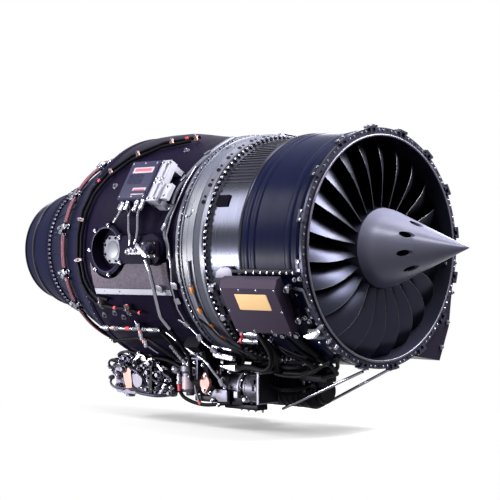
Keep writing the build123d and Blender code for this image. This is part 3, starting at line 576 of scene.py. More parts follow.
class TURBOFAN_OT_stage(bpy.types.Operator):
    """Makes the pale floor, the soft lamps and the white surround"""

    bl_idname = "turbofan.stage"
    bl_label = "Stage"

    def execute(self, context):
        colours = context.scene.turbofan_colours
        level = cad_box[0][2] - context.scene.turbofan_sizes.floor_drop
        tree, shader = blank_material("pale floor")
        shader.inputs["Base Color"].default_value = [*colours.floor, 1]
        shader.inputs["Roughness"].default_value = 0.9
        shader.inputs["Specular IOR Level"].default_value = 0.1
        # Away from the engine the floor turns into the white surround, so that no horizon shows
        where = add(tree, "ShaderNodeTexCoord")
        reach = add(
            tree, "ShaderNodeVectorMath", {"operation": "DISTANCE", 1: (-0.85, 0, level)},
            {0: where.outputs["Object"]},
        )
        # Next to the engine the floor keeps part of the white glow, painted light that lightens the engine's
        # shadow on it
        fade = add(
            tree,
            "ShaderNodeMapRange",
            {"interpolation_type": "SMOOTHSTEP", "From Min": 0.2, "From Max": 1.35, "To Min": 0.35},
            {"Value": reach.outputs["Value"]},
        )
        share = add(
            tree, "ShaderNodeMath", {"operation": "MULTIPLY"},
            {0: fade.outputs[0], 1: seen_directly(tree)},
        )
        white = add(tree, "ShaderNodeEmission", {"Color": [1, 1, 1, 1], "Strength": 1.0})
        # The light that the floor throws back is held down, so that undersides keep their shade
        bounce = add(tree, "ShaderNodeBsdfDiffuse", {"Color": [*linear("#45454c"), 1]})
        near = add(
            tree, "ShaderNodeMixShader",
            links={0: seen_directly(tree), 1: bounce.outputs[0], 2: shader.outputs[0]},
        )
        mix = add(
            tree, "ShaderNodeMixShader",
            links={0: share.outputs[0], 1: near.outputs[0], 2: white.outputs[0]},
        )
        tree.links.new(mix.outputs[0], tree.nodes["Material Output"].inputs["Surface"])
        deselect()
        bpy.ops.mesh.primitive_plane_add(size=60)
        floor = context.active_object
        floor.name = "floor"
        floor.data.transform(Matrix.Translation((0, 0, level)))
        painted("pale floor", floor)

        world = bpy.data.worlds.new("surround")
        context.scene.world = world
        world.use_nodes = True
        tree = world.node_tree
        tree.nodes.clear()
        light = add(tree, "ShaderNodeBackground", {"Color": [*linear("#dfe0ea"), 1], "Strength": 0.1})
        white = add(tree, "ShaderNodeBackground", {"Color": [1, 1, 1, 1], "Strength": 1.0})
        mix = add(
            tree, "ShaderNodeMixShader",
            links={0: seen_directly(tree), 1: light.outputs[0], 2: white.outputs[0]},
        )
        add(tree, "ShaderNodeOutputWorld", links={"Surface": mix.outputs[0]})

        # Each lamp's place and the point it faces, its width and height in metres, and its watts
        lamps = [
            ("key lamp", (0.5, -2.3, 2.9), (-0.8, 0, 0), 1.0, 0.8, 80),
            ("front lamp", (1.8, 0.4, 3.0), (0, 0, 0), 2.0, 1.3, 220),
            ("fan lamp", (1.1, 1.5, 2.1), (-0.1, -0.3, -0.1), 2.0, 1.2, 330),
            ("side lamp", (-2.75, -2.15, 1.75), (-0.5, -0.4, 0.1), 0.9, 1.5, 90),
            ("low lamp", (-2.6, -2.6, -0.52), (-0.5, -0.4, -0.1), 1.6, 0.3, 150),
            ("top lamp", (-0.8, 0.1, 3.1), (-0.8, 0, 0), 2.6, 1.2, 45),
            ("far lamp", (-2.4, 3.4, 1.6), (-0.9, 0, 0), 1.8, 1.4, 50),
        ]
        for name, at, towards, wide, high, watts in lamps:
            data = bpy.data.lights.new(name, "AREA")
            data.shape = "RECTANGLE"
            data.size = wide
            data.size_y = high
            data.energy = watts
            lamp = bpy.data.objects.new(name, data)
            context.collection.objects.link(lamp)
            lamp.location = at
            lamp.rotation_euler = (Vector(at) - Vector(towards)).to_track_quat("Z", "Y").to_euler()
        context.scene.view_settings.view_transform = "Standard"
        return {"FINISHED"}


class TURBOFAN_OT_finishes(bpy.types.Operator):
    """Makes every material and gives each solid its own"""

    bl_idname = "turbofan.finishes"
    bl_label = "Finishes"

    def execute(self, context):
        c = context.scene.turbofan_colours
        # Roughness comes first, then the size of the pattern in millimetres and a metal's relief
        # Milled and glass-beaded titanium: an even, cool grey shine
        milled_metal("satin titanium", c.titanium, 0.38, 1.2, 0.02)
        # Turned and anodised aluminium: matt, with rings about the axis
        turned_metal("anodised aluminium", c.anodised, 0.3, 3, 0.02, tint=0.06, metallic=0.1, shine=0.25)
        # Bare turned aluminium: mirrors its surroundings, streaked round the case
        turned_metal("turned aluminium", c.alloy, 0.24, 3.5, 0.05)
        # Fibre wound under blue-black resin: silky bands
        wound("wound fibre wrap", c.wrap, 0.28, 4)
        # Sprayed grey enamel over a cast ring: mottled satin
        enamelled("grey enamel", c.enamel, 0.38, 2.5)
        # Moulded laminate with a satin resin skin: cloudy dark purple
        enamelled("duct laminate", c.duct, 0.34, 5, shine=0.015, tint=0.4)
        # Stoved black enamel on sheet: soft, smooth black
        enamelled("black enamel", c.black, 0.36, 1.8, shine=0.05)
        # Purple-brown stoved enamel of the control box: satin
        enamelled("box enamel", c.box, 0.38, 1.8, shine=0.06)
        # Nickel guards: a little paler than the blades, with a fine shine
        milled_metal("edge guard", c.alloy, 0.25, 1.5, 0.005, metallic=0.3)
        # Sprayed flat black paint: no shine
        enamelled("flat black", c.casting, 0.7, 2, shine=0.02)
        # Hard-anodised aluminium: near black with a soft shine, and on the fan case's lining partly painted
        # shade
        turned_metal("dark anodising", c.lining, 0.3, 3, 0.03, tint=0.3, metallic=0.5, shine=0.1)
        # Nickel alloy darkened by heat: blue-black and nearly matt
        turned_metal("heat-tinted alloy", c.hot, 0.42, 5, 0.03, tint=0.3, metallic=0.0, shine=0.02)
        # Drawn stainless steel and bright plating: clear highlights
        milled_metal("stainless steel", c.steel, 0.24, 2, 0.01)
        # Glass-beaded bare aluminium: matt grey
        milled_metal("beaded aluminium", c.beaded, 0.5, 1.5, 0.01, metallic=0.3)
        # Stoved slate enamel over the exciter's case: blue-black satin
        enamelled("slate enamel", c.slate, 0.36, 2, shine=0.06)
        # Sand-cast alloy: pebbled grey, with grime in its hollows
        cast_metal("cast alloy", c.cast, 0.42, 2.2)
        # The same castings, made dull black: their black is painted shade for the dark below the engine
        cast_metal("dark casting", c.casting, 0.4, 2.2, metallic=0.1, shine=0.06)
        # Woven outer face of a heat blanket: mottled, with browner threads
        quilted("heat blanket", c.blanket, c.fleck, 9)
        # Rubber hose under dark braid: dull black
        woven("hose rubber", c.rubber, 4, rough=0.45, shine=0.05)
        # Glass braid over the hot leads: dusty pink-brown
        woven("lead sleeve", c.sleeve, 4)
        # Moulded silicone: pink and smooth
        enamelled("clamp cushion", c.cushion, 0.5, 2)
        # Printed bands: even, strong colour
        enamelled("red band", c.red, 0.45, 2)
        enamelled("orange tape", c.orange, 0.5, 2)
        # Lacquered tin plates, left blank: pale, with a red field
        enamelled("pale plate", c.paper, 0.45, 1.5, tint=0.05)
        enamelled("red plate", c.signal, 0.45, 1.5, tint=0.1)
        # Etched brass plate, left blank: pale and warm
        enamelled("brass plate", c.brass, 0.4, 1.5, tint=0.06)

        finish_of = {
            "satin titanium": ["fan_blades", "fan_disc", "core_compressor", "core_impeller"],
            "anodised aluminium": ["spinner"],
            "turned aluminium": ["fan_case", "core_splitter", "hub_fairing", "compressor_case", "core_cowl"],
            "wound fibre wrap": ["containment_wrap"],
            "grey enamel": ["intermediate_frame", "port_cover"],
            "duct laminate": ["bypass_duct", "port_casting", "bypass_stator"],
            "black enamel": ["control_box_rail", "oil_tank"],
            "box enamel": ["control_box"],
            "flat black": ["blank_plate"],
            "heat-tinted alloy": [
                "exhaust_nozzle", "exhaust_cone", "exhaust_mixer", "tail_cone", "rear_frame",
                "turbine_case", "fan_turbine", "core_turbine", "combustor_case", "combustor_liner",
                "thermocouple_harness",
            ],
            "dark anodising": ["inlet_clips"],
            "beaded aluminium": ["exciter_bracket", "panel_strip"],
            "slate enamel": ["exciter_box"],
            "stainless steel": [
                "fuel_tube", "ring_tubes", "vent_tube", "drain_rods", "ignition_leads", "fuel_injectors",
                "fan_shaft", "core_shaft", "front_bearing", "core_bearing", "rear_bearing",
                "front_mount", "rear_mount", "valve_block", "control_box_mounts",
            ],
            "cast alloy": ["starter_generator", "fuel_control", "fuel_pump", "fuel_filter"],
            "dark casting": ["accessory_gearbox", "hydraulic_pump", "front_generator"],
            "heat blanket": ["heat_shield_panel"],
            "hose rubber": ["duct_hoses", "fan_case_hoses"],
        }
        for finish, nodes in finish_of.items():
            for node in nodes:
                painted(finish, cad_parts[node])
        # The fan case is bare on its outer barrel; its flange and the lining round the fan are dark, and on
        # the lining the dark is partly painted shade for the inside of the case
        flange_back = -0.020
        lining = 0.4355
        refaced("fan_case", "dark anodising", lambda x, radius, z: x > flange_back or radius < lining)
        # Only the valve's manifold is plated
        manifold_front = -0.8115
        refaced("valve_block", "black enamel", lambda x, radius, z: x > manifold_front)
        # The fuel tube runs on in a dark sleeve below the duct
        sleeve_top = -0.330
        refaced("fuel_tube", "hose rubber", lambda x, radius, z: z < sleeve_top)
        left = set(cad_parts) - {n for nodes in finish_of.values() for n in nodes}
        if left:
            raise RuntimeError(f"no finish for {sorted(left)}")
        return {"FINISHED"}


class TURBOFAN_OT_wrap(bpy.types.Operator):
    """Adds the wrap's soft ridges and the bright hoops at its ends"""

    bl_idname = "turbofan.wrap"
    bl_label = "Wrap ridges"

    def execute(self, context):
        high = context.scene.turbofan_sizes.ridge_height / MM
        # The wrap's outer radius
        skin = 457
        ridges = []
        for x, wide in ((-292, 13), (-256, 13), (-76, 17)):
            outline = [
                (x - wide - 3, skin - 2),
                (x - wide, skin + 0.3),
                (x - wide * 0.5, skin + high * 0.8),
                (x, skin + high),
                (x + wide * 0.5, skin + high * 0.8),
                (x + wide, skin + 0.3),
                (x + wide + 3, skin - 2),
            ]
            ridges.append(hoop(outline))
        finished("wrap_ridges", painted("wound fibre wrap", *ridges), smooth=60)
        rear = hoop([(-337, 442), (-337, 458), (-335, 460.4), (-321, 460.8), (-318.5, 459), (-318.5, 455)])
        front = hoop([(-27, 441), (-27, 451), (-20, 453), (-16, 450), (-14, 441)])
        finished("wrap_hoops", painted("turned aluminium", rear, front), smooth=40)
        return {"FINISHED"}


class TURBOFAN_OT_flange_bolts(bpy.types.Operator):
    """Bolts the casings' flanges together, all the way round"""

    bl_idname = "turbofan.flange_bolts"
    bl_label = "Flange bolts"

    def execute(self, context):
        size = context.scene.turbofan_sizes.bolt_head / MM
        # Name, count, x, radius, first clock angle, facing, width, finish and height
        rings = [
            ("case_flange_bolts", 110, -519, 455.2, 0, "forward", size * 1.25, "stainless steel", 8),
            ("frame_flange_bolts", 110, -655, 468.6, 1, "forward", size * 0.8, "stainless steel", 4),
            ("duct_rear_nuts", 110, -1250.5, 485.6, 0, "aft", size * 0.75, "stainless steel", 4),
            ("nozzle_flange_bolts", 96, -1692, 305, 0, "forward", size * 1.2, "stainless steel", 12),
            ("nozzle_flange_nuts", 96, -1716, 303, 0, "aft", size * 0.9, "heat-tinted alloy", 9),
        ]
        for name, count, x, radius, start, facing, wide, finish, high in rings:
            heads = copies(bolt(wide, high), ring_places(count, x, radius, start, facing))
            finished(name, painted(finish, *heads), smooth=25)
        # The inlet flange's bolts keep clear of its forks and of the cowl's bolt holes
        places = []
        for offset in (5, 8.2, 14.3, 17.5):
            places += ring_places(16, 0, 455, 8 + offset, "forward")
        heads = copies(bolt(size * 0.8, 4.5), places)
        finished("inlet_flange_bolts", painted("stainless steel", *heads), smooth=25)
        return {"FINISHED"}


class TURBOFAN_OT_inlet_forks(bpy.types.Operator):
    """Finishes the forks over the inlet flange with their pins and slots"""

    bl_idname = "turbofan.inlet_forks"
    bl_label = "Inlet forks"

    def execute(self, context):
        pin = lathe(Matrix(), [(0, 5), (4, 5), (5.5, 3.5), (5.5, -1)], 14)
        slot = plate(moved(Matrix(), 0, 0, 0.2), round_corners(20, 9, 4), 1.2, 0.3)
        pins = copies(pin, [moved(m, 0, y, 0) for m in ring_places(16, -6, 474, 8) for y in (-16, 16)])
        slots = copies(slot, [turned(m, 90) for m in ring_places(16, -9, 473, 8)])
        pieces = painted("stainless steel", *pins) + painted("black enamel", *slots)
        finished("inlet_fork_pins", pieces)
        return {"FINISHED"}


class TURBOFAN_OT_frame_ring(bpy.types.Operator):
    """Adds the frame ring's lightening holes as black discs of painted shade, and its bosses and screws"""

    bl_idname = "turbofan.frame_ring"
    bl_label = "Frame ring"

    def execute(self, context):
        # Each lightening hole is a black disc on the web: its black is painted shade for the dark inside the
        # hole
        hole = lathe(Matrix(), [(0, 0.6), (7.2, 0.6), (7.6, 1.4), (8.6, 1.4), (9, 0)], 16)
        small = lathe(Matrix(), [(0, 0.6), (4, 0.6), (4.4, 1.2), (5.2, 1.2), (5.6, 0)], 12)
        clocks = (29.2, 38.6, 47.8, 57.4, 66.9, *(19.8 - 9.4 * i for i in range(10)))
        big = [turned(station(-557, clock, 461.3), 25, "Y") for clock in clocks]
        little = [moved(m, 0, 24, 0) for m in big]
        holes = painted("black enamel", *copies(hole, big), *copies(small, little))
        finished("frame_web_holes", holes)

        boss = lathe(Matrix(), [(0, 5), (9, 5), (10, 4), (12, 4), (13, 3), (14.5, 0), (14.5, -4)], 24)
        screw = lathe(Matrix(), [(0, 3.4), (2.4, 3.4), (4, 2.2), (4, -1)], 12)
        painted("stainless steel", screw)
        clocks = (73, 107, 28, 152, 197, 242, 287, 332)
        bosses = painted("grey enamel", *copies(boss, [station(-613, c, 466.4) for c in clocks]))
        at = [station(x, c + d, 467.2) for c in clocks for x, d in ((-594, -1.4), (-628, 1.4))]
        finished("frame_bosses", bosses + copies(screw, at))

        rims = [
            hoop([(-572, 467), (-572, 470.2), (-580, 470.2), (-582, 467)]),
            hoop([(-640, 463), (-641, 468), (-647, 468), (-648, 463)]),
        ]
        finished("frame_rims", painted("grey enamel", *rims), smooth=40)
        return {"FINISHED"}


class TURBOFAN_OT_control_box(bpy.types.Operator):
    """Dresses the control box: lid seam, screws, blank plate, eyelets and arms"""

    bl_idname = "turbofan.control_box"
    bl_label = "Control box"

    def execute(self, context):
        face = station(-234, 119.5, 520)
        screw = lathe(Matrix(), [(0, 2.6), (2.8, 2.6), (4.4, 1.6), (4.6, -0.5)], 14)
        painted("stainless steel", screw)
        spots = [(x, y) for x in (-138, -46, 46, 138) for y in (-66, 112)] + [(-138, 20), (138, 20)]
        screws = copies(screw, [moved(face, x, y, 0) for x, y in spots])
        lid = plate(moved(face, 0, 22, 0), round_corners(288, 190, 5), 1.6, 0.6, lift=-0.2)
        middle = moved(face, 8, 62, 1.4)
        label = plate(middle, round_corners(166, 68, 4), 1.0, 0.3)
        rivet = lathe(Matrix(), [(0, 1.6), (1.6, 1.3), (2.4, 0)], 10)
        painted("brass plate", rivet)
        rivets = copies(rivet, [moved(middle, x, y, 1) for x in (-77, 77) for y in (-28, 28)])
        pieces = painted("box enamel", lid) + painted("brass plate", label) + screws + rivets
        finished("control_box_lid", pieces)

        eyes = [(-465, 97), (-71, 97), (-467, -35), (-71, -35)]
        base = station(0, 119.5, 478)
        ring = lathe(Matrix(), [(5, 0), (5, 13), (7.5, 15), (11, 15), (14, 12), (15, 8), (15, 0)], 28)
        core = lathe(Matrix(), [(0, 11), (3.5, 11), (4.8, 10), (5, 6)], 6)
        places = [moved(base, x, t, 0) for x, t in eyes]
        rings = painted("stainless steel", *copies(ring, places))
        cores = painted("black enamel", *copies(core, places))
        arms = []
        for x, t in eyes:
            inner = -388 if x < -200 else -92
            run = abs(inner - x)
            arms.append(slab(moved(base, (x + inner) / 2, t, -2), run + 8, 20, 6, 1.5))
            arms.append(slab(moved(base, x, t - 26 if t > 0 else t + 26, -16), 26, 30, 14, 2))
        finished("control_box_eyelets", rings + cores + painted("black enamel", *arms))

        along = (-290, -251, -215, -181, -147, -114, -80, -50)
        rail_bolts = copies(bolt(9, 5), [station(x, 101.6, 464) for x in along])
        tab = plate(
            station(-420, 102.4, 444), [(-48, -16), (-40, 8), (-8, 26), (34, 26), (46, 14), (46, -16)],
            16, 2,
        )
        foot = slab(station(-200, 101, 457), 340, 12, 8, 1.5)
        pieces = painted("stainless steel", *rail_bolts) + painted("black enamel", foot)
        pieces += painted("cast alloy", tab)
        finished("control_box_tab", pieces)
        return {"FINISHED"}


class TURBOFAN_OT_case_plates(bpy.types.Operator):
    """Adds the rivets of the bare case's small plates and the brackets near the inlet flange"""

    bl_idname = "turbofan.case_plates"
    bl_label = "Case plates"

    def execute(self, context):
        rivet = lathe(Matrix(), [(0, 1.8), (2, 1.5), (3, 0), (3, -1)], 10)
        painted("stainless steel", rivet)
        spots = [
            (-409, 97.9, 442), (-381, 97.9, 442), (-495, 62.9, 445), (-439, 62.9, 445), (-495, 68.2, 445),
            (-439, 68.2, 445),
        ]
        rivets = copies(rivet, [station(*s) for s in spots])
        finished("case_rivets", rivets)

        # Bent steel straps between the control box and the inlet flange
        strap = plate(
            station(-20, 114, 463),
            [(-42, 44), (-30, 50), (6, 46), (14, 38), (22, -40), (12, -44), (4, 32), (-36, 38)], 5, 1,
        )
        lever = plate(
            station(-28, 131, 462),
            [(-46, -8), (-30, -18), (0, -6), (44, 18), (52, 30), (40, 34), (6, 12), (-34, 8)], 9, 2,
        )
        fork = plate(
            station(-22, 134.4, 462), [(-40, 14), (-46, 0), (-16, -12), (22, -6), (30, 6), (4, 8)], 14, 2,
        )
        knob = lathe(Matrix(), [(0, 12), (5, 12), (7, 10), (7, 4), (9, 3), (9, -3)], 16)
        spots = [(-46, 104.6), (-18, 104.2), (-50, 123.6), (-36, 125.4), (-60, 132.6), (-4, 138), (12, 142)]
        knobs = copies(knob, [station(x, clock, 464) for x, clock in spots])
        spots = [(-12, 148), (-18, 153), (-14, 158), (-10, 127), (-60, 140), (-58, 112)]
        studs = copies(bolt(9, 6), [station(x, clock, 460) for x, clock in spots])
        pieces = painted("cast alloy", strap, fork) + painted("stainless steel", lever, *knobs, *studs)
        finished("flange_brackets", pieces)
        return {"FINISHED"}


class TURBOFAN_OT_case_plumbing(bpy.types.Operator):
    """Adds the connectors, their nuts and the hoses below the control box"""

    bl_idname = "turbofan.case_plumbing"
    bl_label = "Case plumbing"

    def execute(self, context):
        plug = lathe(Matrix(), [
            (0, 104), (7, 104), (8, 100), (8, 84), (11, 82), (11, 66), (13, 64), (13, 30), (11, 28),
            (11, 12), (13, 10), (13, 0), (0, 0),
        ], 20)
        places = [turned(station(x, c, 482), -90, "Y") for x, c in ((-318, 133.6), (-352, 138.4))]
        plugs = painted("stainless steel", *copies(plug, places))
        band = lathe(Matrix(), [(11, 90), (12.4, 90), (12.4, 102), (11, 102)], 20)
        bands = painted("red band", *copies(band, places))
        spots = [
            (-300, 133), (-282, 136.4), (-226, 131.8), (-196, 133), (-150, 131.2), (-122, 132.4),
            (-404, 131),
        ]
        nuts = copies(bolt(20, 16, washer=1.15), [station(x, clock, 478) for x, clock in spots])
        pieces = plugs + bands + painted("stainless steel", *nuts)
        finished("case_connectors", pieces)

        looms = [
            ([
                spot(-300, 134, 484), spot(-285, 139, 500), spot(-300, 146, 505),
                spot(-370, 156, 505), (-440, -120, -500), (-520, -150, -492), (-600, -160, -480),
            ], 12),
            ([
                spot(-330, 138, 482), spot(-320, 144, 478), spot(-350, 152, 486),
                spot(-430, 158, 492), (-520, -150, -470),
            ], 9),
            ([
                spot(-40, 150, 470), spot(-60, 157, 480), spot(-120, 163, 500), spot(-210, 168, 512),
                spot(-300, 166, 508),
            ], 8),
            ([spot(-206, 137, 470), spot(-190, 143, 474), spot(-165, 150, 478), spot(-150, 158, 476)], 7),
            ([spot(-150, 134, 466), spot(-140, 140, 470), spot(-130, 148, 470), spot(-135, 156, 474)], 13),
            ([
                spot(-470, 128, 462), spot(-462, 134, 470), spot(-470, 142, 486),
                spot(-500, 150, 500), spot(-560, 156, 512),
            ], 7),
        ]
        hoses = [tube(points, radius) for points, radius in looms]
        finished("case_looms", painted("hose rubber", *hoses), smooth=60)
        return {"FINISHED"}


class TURBOFAN_OT_spinner_pockets(bpy.types.Operator):
    """Lines the spinner's pockets and puts their bolts in"""

    bl_idname = "turbofan.spinner_pockets"
    bl_label = "Spinner pockets"

    def execute(self, context):
        # A cup behind each of the cone's holes, with the bolt at its bottom
        holes = 8
        first = 12
        places = [aimed(spot(112, first + 360 * i / holes, 92), FORWARD) for i in range(holes)]
        cup = lathe(Matrix(), [(0, 0), (12.2, 0), (12.2, 21)], 24)
        cups = painted("dark anodising", *copies(cup, places))
        bolts = painted("stainless steel", *copies(bolt(13, 7, washer=1.3, stud=4), places))
        finished("spinner_pocket_bolts", cups + bolts, body=FAN)
        return {"FINISHED"}


class TURBOFAN_OT_duct_clamps(bpy.types.Operator):
    """Clips the hoses to the duct and adds its bosses and marking bands"""

    bl_idname = "turbofan.duct_clamps"
    bl_label = "Duct clamps"

    def execute(self, context):
        wide = context.scene.turbofan_sizes.clamp_width / MM
        # Where each clamp sits, and how its hoses run there
        clamps = [
            (-862, 21.0, 494, 37),
            (-941, 28.6, 508, 38),
            (-1056, 39.8, 514, 44),
            (-1150, 51.0, 511, 47),
            (-1232, 76.0, 503, 82),
            (-1233, 95.3, 503, 95),
            (-1140, 115.6, 512, 172),
            (-984, 119.0, 512, 180),
        ]
        bands = []
        cushions = []
        bolts = []
        for x, clock, radius, run in clamps:
            at = station(x, clock, radius, run)
            bands.append(slab(moved(at, 0, 0, 6.5), wide * 0.7, 46, 2.4, 0.8))
            bands.append(slab(moved(at, 0, 28, -9), wide * 0.7, 14, 5, 1))
            cushions.append(slab(moved(at, 0, 0, -6), wide * 0.9, 40, 12.6, 2))
            bolts.append(moved(at, 0, 0, 8.5))
            bolts.append(moved(at, 0, 29, -4.5))
        heads = copies(bolt(8, 6, stud=3), bolts)
        pieces = painted("cast alloy", *bands) + painted("stainless steel", *heads)
        pieces += painted("clamp cushion", *cushions)
        finished("hose_clamps", pieces)

        boss = lathe(Matrix(), [(0, 10), (5, 10), (6, 8), (6, 3), (12, 2), (14, 0), (14, -14)], 20)
        spots = [
            (-1089, 58.5, 499), (-1181, 124.5, 494), (-1097, 122.5, 499), (-1051, 124.8, 500),
            (-840, 32, 478), (-1000, 46, 496),
        ]
        spots += [(-1190, 300 - 24 * i, 492) for i in range(5)]
        spots += [(-800, 340 - 30 * i, 472) for i in range(4)]
        bosses = copies(boss, [station(*s) for s in spots])
        finished("duct_bosses", painted("cast alloy", *bosses))

        # Marking bands on the hoses
        band = lathe(Matrix(), [(7.2, -7), (8.1, -6), (8.1, 6), (7.2, 7)], 16)
        rows = [(-900, 22.7, 499, 38), (-1200, 55.6, 507, 50), (-1060, 118.5, 513, 180)]
        rows += [(-930, 121.4, 503, 190)]
        places = [turned(station(*row), 90, "Y") for row in rows]
        finished("hose_bands", painted("red band", *copies(band, places)), smooth=60)
        return {"FINISHED"}


class TURBOFAN_OT_port(bpy.types.Operator):
    """Bolts the port casting and its cover, and finishes the valve beside it"""

    bl_idname = "turbofan.port"
    bl_label = "Port and valve"

    def execute(self, context):
        middle = station(-1053, 90.5, 0)
        # Seven ears, 50 degrees apart, with a gap at the valve's side
        ears = around(middle, range(30, 340, 50), 103, 508)
        heads = painted("stainless steel", *copies(bolt(12, 8, washer=1.3, stud=3), ears))

        # The well's rim, and the cover's screws, seal and centre
        rim = lathe(moved(middle, 0, 0, 506), [(88.2, -6), (88.2, 2.4), (92, 3.2), (95.5, 0)], 56)
        seal = lathe(moved(middle, 0, 0, 463), [(66, -0.5), (66, 3), (71, 3), (71, -0.5)], 48)
        spread = [45 * i + 22.5 for i in range(8)]
        caps = painted("black enamel", *copies(bolt(9, 5), around(middle, spread, 51, 470)))
        disc = lathe(moved(middle, 0, 0, 470), [(0, 2.6), (31, 2.6), (36, 1.4), (37, -0.5)], 32)
        pieces = heads + caps + painted("slate enamel", rim) + painted("duct laminate", seal)
        pieces += painted("grey enamel", disc)
        finished("port_fasteners", pieces)

        # Valve: a banjo manifold, a ball end, a lever with its knob and screws round the flange
        base = station(-770, 90.5, 506)
        flange = [moved(base, x, y, 15) for x in (-34, 0, 34) for y in (-24, 24)]
        screws = painted("stainless steel", *copies(bolt(8, 5), flange))
        ball = lathe(
            moved(base, -128, -10, 12),
            [(0, 17), (6, 15.6), (11, 11), (13, 5), (13, 0), (10, -6), (9, -12)],
            20,
        )
        nut = lathe(Matrix(), [(0, 12), (9, 12), (10.4, 10), (10.4, -10), (9, -12), (0, -12)], 6)
        nuts = copies(nut, [turned(moved(base, x, -8, 11), 90, "Y") for x in (-118, -64, -42)])
        riser = lathe(Matrix(), [(0, 16), (6, 16), (8, 13), (8, 8), (11, 7), (11, 0)], 16)
        risers = copies(riser, [moved(base, x, -4, 18) for x in (-100, -76)])
        lever = plate(
            moved(base, 0, 0, 44), [(-44, 22), (-36, 28), (22, -20), (20, -30), (10, -32), (-46, 12)], 5,
            1.2,
        )
        knob = lathe(moved(base, 18, 4, 44), [(0, 12), (9, 12), (12, 9), (12, 3), (15, 2), (15, -2)], 20)
        pieces = screws + painted("stainless steel", ball, lever, *nuts, *risers)
        pieces += painted("slate enamel", knob)
        finished("valve_fittings", pieces)

        # Screws along the blanket and its strip, and the clips where the fuel tube crosses
        rows = [
            (-1140, 110.2, 498), (-1094, 110.2, 506), (-1048, 110.2, 506), (-1002, 110.2, 506),
            (-956, 110.2, 488), (-910, 110.6, 490), (-864, 110.6, 486), (-818, 110.6, 482),
            (-772, 110.6, 479),
        ]
        heads = copies(bolt(7, 3.5), [station(*row) for row in rows])
        rows = [(-774, 109.4, 486, -12), (-690, 108, 480, -8), (-700, 116, 478, 10)]
        clips = copies(slab(Matrix(), 34, 26, 5, 1.5), [station(*row) for row in rows])
        pieces = painted("stainless steel", *heads, *clips)
        finished("panel_screws", pieces)
        return {"FINISHED"}


class TURBOFAN_OT_exciter(bpy.types.Operator):
    """Finishes the ignition exciter: lid, blank plates, screws, connectors and lead nuts"""

    bl_idname = "turbofan.exciter"
    bl_label = "Ignition exciter"

    def execute(self, context):
        face = station(-880, 60, 552)
        lid = plate(face, round_corners(158, 170, 6), 2.2, 0.8, lift=-0.2)
        ribs = [slab(moved(face, x, 4, 2), 3, 46, 1.6, 0.6) for x in range(-62, 20, 9)]
        plates = []
        insets = []
        for x, y, size, field in ((6, 46, (122, 27), (100, 13)), (30, -55, (80, 33), (62, 18))):
            plates.append(plate(moved(face, x, y, 2), round_corners(*size, 3), 1.2, 0.4))
            insets.append(plate(moved(face, x, y, 3.1), round_corners(*field, 3), 0.5, 0.1))
        screws = [moved(face, x, y, 1.6) for x in (-72, 0, 72) for y in (-78, 78)]
        heads = copies(lathe(Matrix(), [(0, 3), (3, 3), (4.6, 1.8), (4.6, -0.5)], 12), screws)
        pieces = painted("slate enamel", lid, *ribs) + painted("pale plate", *plates)
        pieces += painted("red plate", *insets)
        finished("exciter_lid", pieces + painted("stainless steel", *heads))

        # Bracket: bolts along its flanges
        bar = station(-768, 60, 544)
        spots = [(x, y) for x in (-16, 18) for y in (-84, -10, 10, 84)] + [(48, -62), (48, -22)]
        places = [moved(bar, x, y, 0 if x < 40 else -16) for x, y in spots]
        finished("exciter_bracket_bolts", painted("stainless steel", *copies(bolt(9, 5), places)))

        # Connectors and lead nuts under the box
        plug = lathe(Matrix(), [
            (0, 44), (9, 44), (12, 41), (12, 30), (10, 28), (10, 16), (14, 14), (14, 4), (12, 2),
            (12, -6),
        ], 20)
        spots = ((-62, -88, -24), (-28, -88, -20), (34, -96, -16), (70, -88, -14))
        plugs = [turned(moved(face, *at), 90, "X") for at in spots]
        bracket = slab(moved(face, -56, -104, -34), 84, 26, 6, 2)
        pieces = painted("stainless steel", *copies(plug, plugs), bracket)
        finished("exciter_plugs", pieces)
        stub = [(-62, -130, -24), (-70, -150, -28), (-84, -164, -34), (-96, -172, -40)]
        route = [face @ Vector((x * MM, y * MM, z * MM)) / MM for x, y, z in stub]
        finished("exciter_stub", painted("stainless steel", tube(route, 5)), smooth=60)
        return {"FINISHED"}


